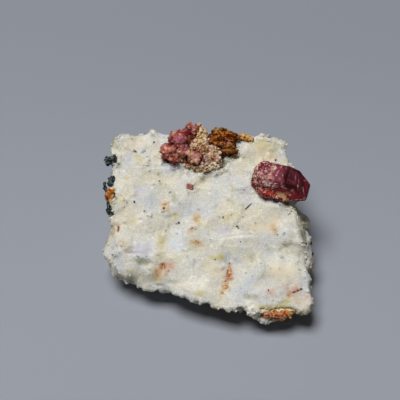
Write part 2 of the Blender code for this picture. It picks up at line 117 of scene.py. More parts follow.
class Skin:
    """A closed mesh in millimetres, with its points, outward directions and neighbours as arrays.

    Attributes:
        mesh: the mesh.
        edges: the two vertices of each edge.
        count: how many vertices there are.
        degree: how many neighbours each vertex has.
    """

    def __init__(self, mesh: Mesh) -> None:
        """Takes over a mesh."""
        self.mesh = mesh
        edges = np.empty(len(mesh.edges) * 2, dtype=np.int64)
        mesh.edges.foreach_get("vertices", edges)
        self.edges = edges.reshape(-1, 2)
        self.count = len(mesh.vertices)
        self.degree = np.bincount(edges, minlength=self.count)

    @property
    def points(self) -> np.ndarray:
        """Where the vertices are."""
        flat = np.empty(self.count * 3)
        self.mesh.vertices.foreach_get("co", flat)
        return flat.reshape(-1, 3)

    @points.setter
    def points(self, places: np.ndarray) -> None:
        """Moves the vertices."""
        self.mesh.vertices.foreach_set("co", places.ravel())
        self.mesh.update()

    @property
    def normals(self) -> np.ndarray:
        """The outward direction at each vertex."""
        flat = np.empty(self.count * 3)
        self.mesh.vertex_normals.foreach_get("vector", flat)
        return flat.reshape(-1, 3)

    def around(self, values: np.ndarray) -> np.ndarray:
        """The mean of each vertex's neighbours.

        Args:
            values: one number or vector for each vertex.
        Returns: the means, in the same form.
        """
        total = np.zeros((self.count, values.size // self.count))
        for number, column in enumerate(values.reshape(self.count, -1).T):
            for here, there in (self.edges.T, self.edges.T[::-1]):
                total[:, number] += np.bincount(here, column[there], self.count)
        return (total / self.degree[:, None]).reshape(values.shape)

    def softened(self, values: np.ndarray, rounds: int) -> np.ndarray:
        """Values evened out between neighbours a number of times."""
        for _ in range(rounds):
            values = (values + self.around(values)) / 2
        return values

    def ease(self, rounds: int, share: np.ndarray) -> None:
        """Evens the shape out a number of times, as far as each vertex's share says."""
        points = self.points
        self.points = points + (self.softened(points, rounds) - points) * share[:, None]

    def rounded(self, rounds: int) -> None:
        """Rounds edges off a number of times without thinning the shape."""
        points = self.points
        for _ in range(rounds):
            points = points + 0.5 * (self.around(points) - points)
            points = points - 0.52 * (self.around(points) - points)
        self.points = points

    def push(self, distance: np.ndarray) -> None:
        """Moves each vertex outwards."""
        self.points = self.points + self.normals * distance[:, None]

    def sharpness(self, rounds: int) -> np.ndarray:
        """How far each vertex stands out from its surroundings: high on edges, negative in dents."""
        points = self.points
        return ((points - self.softened(points, rounds)) * self.normals).sum(axis=1)

    def mark(self, name: str, values: np.ndarray) -> None:
        """Keeps one number for each vertex as an attribute."""
        layer = self.mesh.attributes.new(name, "FLOAT", "POINT")
        layer.data.foreach_set("value", values.astype(np.float32))

    def tint(self, name: str, colours: np.ndarray) -> None:
        """Keeps a colour with its strength for each vertex as an attribute."""
        layer = self.mesh.attributes.new(name, "FLOAT_COLOR", "POINT")
        layer.data.foreach_set("color", colours.astype(np.float32).ravel())

    def tree(self) -> BVHTree:
        """The surface as a search tree."""
        faces = [tuple(face.vertices) for face in self.mesh.polygons]
        return BVHTree.FromPolygons([tuple(place) for place in self.points.tolist()], faces)


def loose_object(name: str, data: bpy.types.ID) -> bpy.types.Object:
    """Links a mesh, a lamp or a camera to the scene as an object of that name."""
    made = bpy.data.objects.new(name, data)
    bpy.context.scene.collection.objects.link(made)
    return made


def applied(working: bpy.types.Object) -> Mesh:
    """The object's mesh with its modifiers applied. The object itself is removed."""
    graph = bpy.context.evaluated_depsgraph_get()
    mesh = bpy.data.meshes.new_from_object(working.evaluated_get(graph))
    used = working.data
    working.modifiers.clear()
    bpy.data.objects.remove(working)
    bpy.data.meshes.remove(used)
    return mesh


def remeshed(node: str, voxel: float) -> Skin:
    """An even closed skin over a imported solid.

    Args:
        node: the solid's name.
        voxel: fineness of the skin in millimetres.
    Returns: the skin, in millimetres.
    """
    shape = bmesh.new()
    shape.from_mesh(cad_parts[node].data)
    bmesh.ops.scale(shape, vec=Vector((1, 1, 1)) / MM, verts=shape.verts)
    bmesh.ops.remove_doubles(shape, verts=shape.verts, dist=JOIN)
    mesh = bpy.data.meshes.new(node + "_copy")
    shape.to_mesh(mesh)
    shape.free()
    working = loose_object("remesh", mesh)
    fuse = working.modifiers.new("Remesh", "REMESH")
    fuse.mode = "VOXEL"
    fuse.voxel_size = voxel
    fuse.use_smooth_shade = True
    return Skin(applied(working))


class Network:
    """A node tree, with the steps of arithmetic that surfaces and strewn grains share."""

    def __init__(self, tree: bpy.types.NodeTree) -> None:
        """Takes over a tree."""
        self.tree = tree

    def feed(self, node: bpy.types.Node, inputs: dict) -> None:
        """Gives a node's inputs their values, or links those whose value is an output."""
        for key, value in inputs.items():
            if isinstance(value, Socket):
                self.tree.links.new(value, node.inputs[key])
            else:
                node.inputs[key].default_value = value

    def add(self, kind: str, inputs: dict | None = None, **settings: object) -> bpy.types.Node:
        """Adds a node with its settings and links.

        Args:
            kind: the node's type.
            inputs: for an input's name or number, its value or the output that it is linked to.
            settings: the node's own options. stops gives a colour ramp's places and colours.
        Returns: the node.
        """
        made = self.tree.nodes.new(kind)
        stops = settings.pop("stops", ())
        for name, value in settings.items():
            setattr(made, name, value)
        self.feed(made, inputs or {})
        for number, (place, colour) in enumerate(stops):
            ramp = made.color_ramp.elements
            stop = ramp[number] if number < len(ramp) else ramp.new(place)
            stop.position = place
            stop.color = linear(colour)
        return made

    def sums(self, operation: str, *values: object) -> Socket:
        """One step of arithmetic on numbers."""
        return self.add("ShaderNodeMath", dict(enumerate(values)), operation=operation).outputs[0]

    def vectors(self, operation: str, *values: object) -> Outputs:
        """One step of arithmetic on vectors, with its outputs Vector and Value."""
        return self.add("ShaderNodeVectorMath", dict(enumerate(values)), operation=operation).outputs

    def scaled(self, vector: Socket, factor: object) -> Socket:
        """A vector made longer or shorter."""
        made = self.add("ShaderNodeVectorMath", {0: vector, "Scale": factor}, operation="SCALE")
        return made.outputs["Vector"]


# Numbers of the sockets of a Mix node set to colours
SHARE, FIRST, SECOND, MIXED = 0, 6, 7, 2


class Finish(Network):
    """A procedural surface: its shader and the steps that several finishes share.

    Attributes:
        slot: the record's finish that it stands for.
        material: the material.
        shader: its shader node.
        place: where each point of the surface is, in millimetres.
    """

    def __init__(self, name: str, slot: str = "") -> None:
        """Starts a material with a plain shader."""
        self.slot = slot
        self.material = bpy.data.materials.new(name)
        self.material.use_nodes = True
        super().__init__(self.material.node_tree)
        self.tree.nodes.clear()
        self.shader = self.add("ShaderNodeBsdfPrincipled")
        self.add("ShaderNodeOutputMaterial", {"Surface": self.shader.outputs["BSDF"]})
        self.place = self.scaled(self.add("ShaderNodeTexCoord").outputs["Object"], 1 / MM)

    def cloud(self, size: float, detail: float = 2.0, stretch: Triple = (1, 1, 1)) -> Socket:
        """Soft noise from 0 to 1.

        Args:
            size: width of its lumps in millimetres.
            detail: how many finer layers there are.
            stretch: how much narrower the lumps are along each axis.
        Returns: the noise.
        """
        place = self.vectors("MULTIPLY", self.place, stretch)["Vector"]
        inputs = {"Vector": place, "Scale": 1 / size, "Detail": detail}
        return self.add("ShaderNodeTexNoise", inputs).outputs["Fac"]

    def cells(self, size: float) -> Socket:
        """A random number for each cell of this size in millimetres."""
        made = self.add("ShaderNodeTexVoronoi", {"Vector": self.place, "Scale": 1 / size})
        return self.add("ShaderNodeSeparateColor", {0: made.outputs["Color"]}).outputs[0]

    def facets(self, size: float) -> Socket:
        """Relief of small flat faces, each tilted its own way.

        Args:
            size: their usual width in millimetres.
        Returns: their height in millimetres.
        """
        cells = self.add("ShaderNodeTexVoronoi", {"Vector": self.place, "Scale": 1 / size}).outputs
        offset = self.vectors("SUBTRACT", self.place, cells["Position"])["Vector"]
        lean = self.vectors("SUBTRACT", cells["Color"], (0.5, 0.5, 0.5))["Vector"]
        return self.vectors("DOT_PRODUCT", offset, lean)["Value"]

    def ramp(self, value: Socket, low: float, high: float) -> Socket:
        """An even ramp from 0 where the value is low to 1 where it is high."""
        inputs = {"Value": value, "From Min": low, "From Max": high}
        return self.add("ShaderNodeMapRange", inputs, interpolation_type="SMOOTHSTEP").outputs["Result"]

    def shades(self, value: Socket, stops: Iterable[tuple[float, str]]) -> Socket:
        """The colour for a value from 0 to 1."""
        return self.add("ShaderNodeValToRGB", {"Fac": value}, stops=stops).outputs["Color"]

    def carried(self, name: str) -> Outputs:
        """What the mesh carries by this name, with its outputs Color, Fac and Alpha."""
        return self.add("ShaderNodeAttribute", attribute_name=name).outputs

    def grain(self, size: float) -> Socket:
        """A random number for each strewn grain, and on it for each cell of this size."""
        own = self.sums("ADD", self.carried("tint")["Fac"], self.cells(size))
        return self.sums("FRACT", own)

    def tints_and_light(self, crumbs: Socket, uneven: float, start: float, faint: float) -> tuple[Socket, Socket]:
        """The marks laid on the mesh, with crumbly edges: stains, and in places painted shade, highlights
        and glow.

        Args:
            crumbs: noise that breaks the edges up.
            uneven: how strongly it does.
            start: strength at which a mark begins to show.
            faint: strength below which it fades out whatever the noise says.
        Returns: their colour and their share.
        """
        tint_and_light = self.carried("tint_and_light")
        broken = self.sums("MULTIPLY_ADD", self.sums("SUBTRACT", crumbs, 0.5), uneven, tint_and_light["Alpha"])
        fade = self.ramp(tint_and_light["Alpha"], 0.0, faint)
        return tint_and_light["Color"], self.sums("MULTIPLY", self.ramp(broken, start, 0.95), fade)

    def mix(self, share: object, first: object, second: object, blend: str = "MIX") -> Socket:
        """Two colours mixed."""
        inputs = {SHARE: share, FIRST: first, SECOND: second}
        return self.add("ShaderNodeMix", inputs, data_type="RGBA", blend_type=blend).outputs[MIXED]

    def over(self, tone: Socket, colour: str, share: Socket, most: object, blend: str = "MIX") -> Socket:
        """A colour laid over another: share says where, from 0 to 1, and most how strongly."""
        return self.mix(self.sums("MULTIPLY", share, most), tone, linear(colour), blend)

    def bump(self, height: Socket) -> Socket:
        """Fine relief from a height in millimetres."""
        return self.add("ShaderNodeBump", {"Height": height, "Distance": MM}).outputs["Normal"]

    def shows(self, **inputs: object) -> None:
        """Sets the shader's inputs, each by its name with _ for a space."""
        self.feed(self.shader, {name.replace("_", " "): value for name, value in inputs.items()})


def set_down(name: str, mesh: Mesh, finish: Finish, *nodes: str) -> None:
    """Makes a finished piece in metres of a mesh in millimetres.

    Args:
        name: the piece's name.
        mesh: its mesh.
        finish: its surface.
        nodes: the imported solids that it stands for.
    """
    mesh.transform(Matrix.Scale(MM, 4))
    mesh.materials.clear()
    mesh.materials.append(finish.material)
    piece = loose_object(name, mesh)
    logging.info("%s: %d faces", name, len(mesh.polygons))
    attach(piece, BODY)
    if nodes:
        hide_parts(*nodes)


class Tint(Enum):
    """Colours in the marble and on the crystals, mostly their own stains and grains; some marks paint
    shade, highlights, sheen and glow with them.
    """

    # In the marble
    LILAC = "#CDCAD2"
    BLUISH = "#DADFE2"
    CHALK = "#F6F2E4"
    YELLOW = "#D2C68E"
    OCHRE = "#D0A868"
    PINK = "#D6ACA0"
    PEACH = "#E0BE98"
    OLIVE = "#A9A88A"
    SLATE = "#8F9190"
    VEIN = "#C48E60"
    TAN = "#BDA884"
    # On the crystals and in the crusts
    CREAM = "#F0E2C4"
    MAROON = "#34060E"
    GARNET = "#763440"
    WINE = "#4A1620"
    CRIMSON = "#8E2834"
    BRICK = "#D07E6C"
    SALMON = "#F4C4AE"
    ROSE = "#CE908A"
    BLUSH = "#F4D8CC"
    VIOLET = "#BC8494"
    INK = "#33202C"
    PLUM = "#B66C76"
    EMBER = "#C03C1C"
    SAND = "#E2B48C"
    HONEY = "#E4C078"
    AMBER = "#C87A2E"
    BRONZE = "#B27A3A"
    UMBER = "#5C220E"
    RUST = "#B4581A"
    MOSS = "#968858"
    STEEL = "#5C6A68"


# Marks are listed: x, y, z, half width, half height, strength, and if need be a turn in degrees
FACE_MARKS = {
    Tint.LILAC: (
        (-12.4, 5.7, 12.9, 2.1, 1.6, 0.6), (-12.5, -6.1, 9.5, 2.5, 1.4, 0.85, 5),
        (2.9, -2.4, 10.2, 1.7, 1.4, 0.75), (-15.6, 11.6, 14.9, 1.1, 0.8, 0.6, 30),
        (-10, 14.3, 15.4, 1.7, 0.8, 0.25), (7.5, 5.5, 13.1, 1.1, 1.4, 0.45),
        (10.8, -14.6, 6.3, 2.3, 1, 0.35, -5), (5.3, -8.1, 7.8, 0.9, 1.6, 0.5),
        (7.3, 12.7, 15.8, 1.1, 1, 0.4), (-0.1, -5.9, 9.4, 1.1, 1, 0.3),
    ),
    Tint.BLUISH: (
        (6.9, -11, 7.6, 2.9, 1.6, 0.45, -20), (-2.4, 2.6, 12.1, 2.3, 1.8, 0.5),
        (-6, -4.5, 9.5, 1.7, 2.5, 0.7), (-5.1, 3.4, 13, 1.3, 1.4, 0.35), (10.6, -6.3, 8.5, 1.7, 1.6, 0.4),
        (1.4, 6.6, 13.1, 2.3, 1.6, 0.25),
    ),
    Tint.CREAM: (
        (-13.7, 14.7, 15.9, 3.2, 1.8, 0.45, 10), (10.6, 12.9, 15.2, 2.9, 2.7, 0.5),
        (10.2, -2, 10.8, 3.8, 1.6, 0.55), (13.8, -9.6, 8.5, 3.4, 3.2, 0.6), (3.5, 2.9, 11.8, 2.9, 2.5, 0.3),
        (-15.1, 0.7, 11.4, 1.9, 2.9, 0.35), (1.3, -9.6, 7.9, 1.7, 1.6, 0.35),
        (12.2, 0.7, 11.4, 2.7, 2, 0.35),
    ),
    Tint.PEACH: (
        (-7.6, -8.9, 8.1, 1.6, 1.4, 0.55), (-8.8, -9.9, 7.1, 1.3, 1.1, 0.55),
        (3.6, -11, 6.8, 1.5, 2.4, 0.35), (-8.2, 2.3, 12.2, 1, 1.3, 0.5), (-2, 0, 11, 1.3, 1.5, 0.35),
        (-3, -2.5, 11.2, 1.2, 0.9, 0.35), (-2.2, -4.7, 9.9, 1.6, 0.9, 0.45),
        (15.4, -13.8, 6.5, 1.9, 1, 0.45, 20), (11.8, -14, 6.4, 1, 1.1, 0.35), (12, -2, 10.4, 1.2, 1.8, 0.3),
        (16.6, -15.4, 5.6, 1.8, 1.5, 0.35),
    ),
    # The thin CHALK rows at (6.1, -3.8) and (6.6, -5.4) are painted highlights along the edges of two
    # cleavage ledges
    Tint.CHALK: (
        (-2, -8.8, 8.3, 3.6, 2.6, 0.35), (8.6, -17, 4.4, 1.3, 1.2, 0.9, -30),
        (11.9, -17.3, 2.1, 3, 0.6, 0.8), (-15.4, -8.6, 6.4, 2.4, 1.4, 0.5), (-10.8, -9.4, 7, 1.1, 1.8, 0.8),
        (-1.8, -12.1, 7.2, 3, 1.8, 0.6, -25), (7.6, -16.5, 5.5, 1.3, 1.6, 1, -30),
        (6.1, -3.8, 10.5, 4.6, 0.3, 0.9, 4), (17.1, -4.4, 10.3, 0.9, 4.1, 0.5, -14),
        (6.6, -5.4, 9.6, 1.7, 0.2, 0.6, 4), (-11.2, 17.4, 16.4, 2.4, 0.6, 0.5, 12),
        (-5.5, -12.2, 7, 1.9, 0.8, 0.5, -15),
    ),
    # The TAN row at (0.3, 9.2) is a painted shadow on the face below the crust
    Tint.TAN: (
        (-17.9, -1.4, 10.1, 0.8, 2.2, 0.65, -10), (-15.7, -5.1, 9.6, 0.9, 1.8, 0.45, 40),
        (4.6, 0.5, 11.9, 1.7, 0.6, 0.35, 28), (12.7, -2.4, 10.5, 0.6, 1.1, 0.7, 20),
        (0.3, 9.2, 13.6, 2.7, 0.5, 0.6, -7), (8.5, -4.8, 9.9, 2.3, 0.6, 0.3),
        (17, -14.5, 6.2, 1.3, 1.2, 0.35), (16.2, -16.2, 3.4, 0.6, 0.5, 0.4),
    ),
    # The OLIVE rows at (-11.9, -8.1), (7.6, -14.7), (8.3, -7.3), (11.3, -5.3) and (14.5, -4.7) lie in
    # hollows and furrows: partly the marble's own grey-green, partly painted shade
    Tint.OLIVE: (
        (-6.6, 4.2, 12.8, 0.9, 1.2, 0.55, 30), (-13.7, -10.2, 5.3, 1.1, 0.8, 0.6, -20),
        (12.9, 13.8, 15.4, 0.8, 1.6, 0.6, -10), (13.9, 15, 15.2, 0.8, 0.7, 0.6),
        (-11.9, -8.1, 8.3, 1.7, 0.6, 0.85, -8), (-5.9, -11.6, 7.2, 0.9, 0.5, 0.6, 5),
        (7.6, -14.7, 6.6, 1.5, 0.6, 0.75, -10), (14, -15.8, 5.9, 1.9, 0.8, 0.7, 12),
        (18.4, -2.4, 9.3, 0.8, 4.5, 0.55, -16), (18.3, 3.9, 8.5, 0.9, 1, 0.8),
        (8.3, -7.3, 8.5, 0.5, 1, 0.45), (11.3, -5.3, 8.7, 0.5, 1, 0.35, 25),
        (14.5, -4.7, 9.7, 0.4, 1.2, 0.3, 20), (-17.2, 10.7, 14.4, 0.8, 0.8, 0.55),
        (-17.6, -7, 6.9, 0.9, 2, 0.3, -20), (11.1, 11.6, 14.9, 1.1, 0.6, 0.3),
    ),
    # The SLATE row at (0.3, 9.3) greys the painted shadow below the crust
    Tint.SLATE: (
        (-12, 1.2, 12, 0.5, 0.6, 0.5), (-1.8, 1.8, 11.6, 0.3, 0.3, 0.4), (-7.2, 4.9, 13, 0.4, 0.3, 0.45),
        (6.2, -1.8, 11.1, 0.9, 0.4, 0.3, -25), (0.3, 9.3, 13.5, 2.9, 0.4, 0.35, -7),
        (4.3, 11.1, 14.8, 0.8, 0.6, 0.35, 40),
    ),
    Tint.YELLOW: (
        (10.4, -16.3, 5.6, 1.3, 0.6, 0.8), (13, -16.1, 5.4, 1.5, 0.5, 0.7),
        (-13.1, 11.5, 15, 1.3, 1.2, 0.6, -30), (-15.6, 8.1, 13.6, 0.8, 0.6, 0.5),
        (-9.4, 8.5, 14.3, 0.6, 0.8, 0.4), (-6.5, 9, 13.8, 0.8, 0.6, 0.3), (-6.2, 0.4, 11.2, 0.9, 1, 0.6),
        (-1.6, -0.8, 10.9, 0.6, 0.6, 0.5), (-8.7, -4.6, 9.7, 0.8, 1.6, 0.7, -3),
        (-8.8, -7, 9.4, 0.6, 1, 0.4), (2.3, -7.4, 9, 1.2, 0.9, 0.7), (1, -7.5, 8.8, 1.1, 0.6, 0.6, -20),
        (0, -8.2, 8.4, 0.9, 0.5, 0.5, -30), (2.8, -7.3, 9, 0.4, 0.3, 0.9),
        (-1.5, -14.2, 6.7, 1.3, 0.7, 0.6, -10), (3.5, 0.1, 11.5, 0.8, 0.8, 0.5),
        (4.7, 6, 13.1, 0.4, 1, 0.85, 12), (11, 14.3, 15.7, 1.7, 1.4, 0.45),
        (14.7, -15.3, 6.1, 0.7, 1.2, 0.6), (9.4, 14.9, 16.2, 2.1, 0.6, 0.5),
        (-16.9, 3.5, 12.5, 0.8, 1.4, 0.5), (2.4, -14.9, 6.1, 0.6, 0.8, 0.35),
        (-13.8, -0.3, 10.9, 1.1, 0.8, 0.3), (-9.5, -10.6, 6.1, 0.9, 0.8, 0.4),
    ),
    Tint.OCHRE: (
        (-2, 0.3, 11.1, 0.8, 1, 0.55, -30), (-3, -2.5, 11.2, 0.8, 0.6, 0.45),
        (-2, -4.7, 9.8, 0.9, 0.5, 0.5, -15), (-9.5, -9.7, 7, 0.8, 1.2, 0.6),
        (-8, 2.6, 12.3, 0.7, 0.6, 0.75), (-7.5, 1.5, 11.8, 0.5, 0.4, 0.4),
        (3.2, -12.4, 6.6, 0.6, 0.8, 0.8, 30), (2.9, -12.8, 6.5, 0.8, 1, 0.6, 20),
        (2.7, -13.8, 6.4, 0.5, 0.8, 0.6, 20), (12.5, 12.3, 14.9, 1.7, 0.6, 0.4, -10),
    ),
    Tint.PINK: (
        (-7.1, -9.3, 8.1, 0.8, 1.4, 0.6, -35), (11.7, -13.6, 6.6, 0.6, 0.6, 0.7),
        (18.5, -14.8, 6.2, 1.1, 1.4, 0.35), (14.8, -12.8, 7, 2.3, 1, 0.3, 15),
        (-6.1, -8.5, 8.8, 0.8, 0.4, 0.4, -30), (4.9, 8.2, 13.8, 1.7, 1, 0.2),
    ),
    Tint.VEIN: (
        (4.1, -8.5, 7.6, 0.4, 0.8, 0.8), (4, -9.6, 7.2, 0.6, 1, 0.95), (3.9, -10.8, 6.7, 0.8, 0.9, 1),
        (3.5, -11.7, 6.7, 0.5, 0.6, 0.8), (15.1, -14.2, 6.4, 0.9, 0.6, 0.55, -30),
        (-16.9, -2, 10.6, 0.3, 1, 0.85, -12), (-8.4, -8.7, 7.9, 0.6, 0.6, 0.9),
        (16.5, -13.4, 6.7, 1.2, 0.4, 0.45, 21),
    ),
}
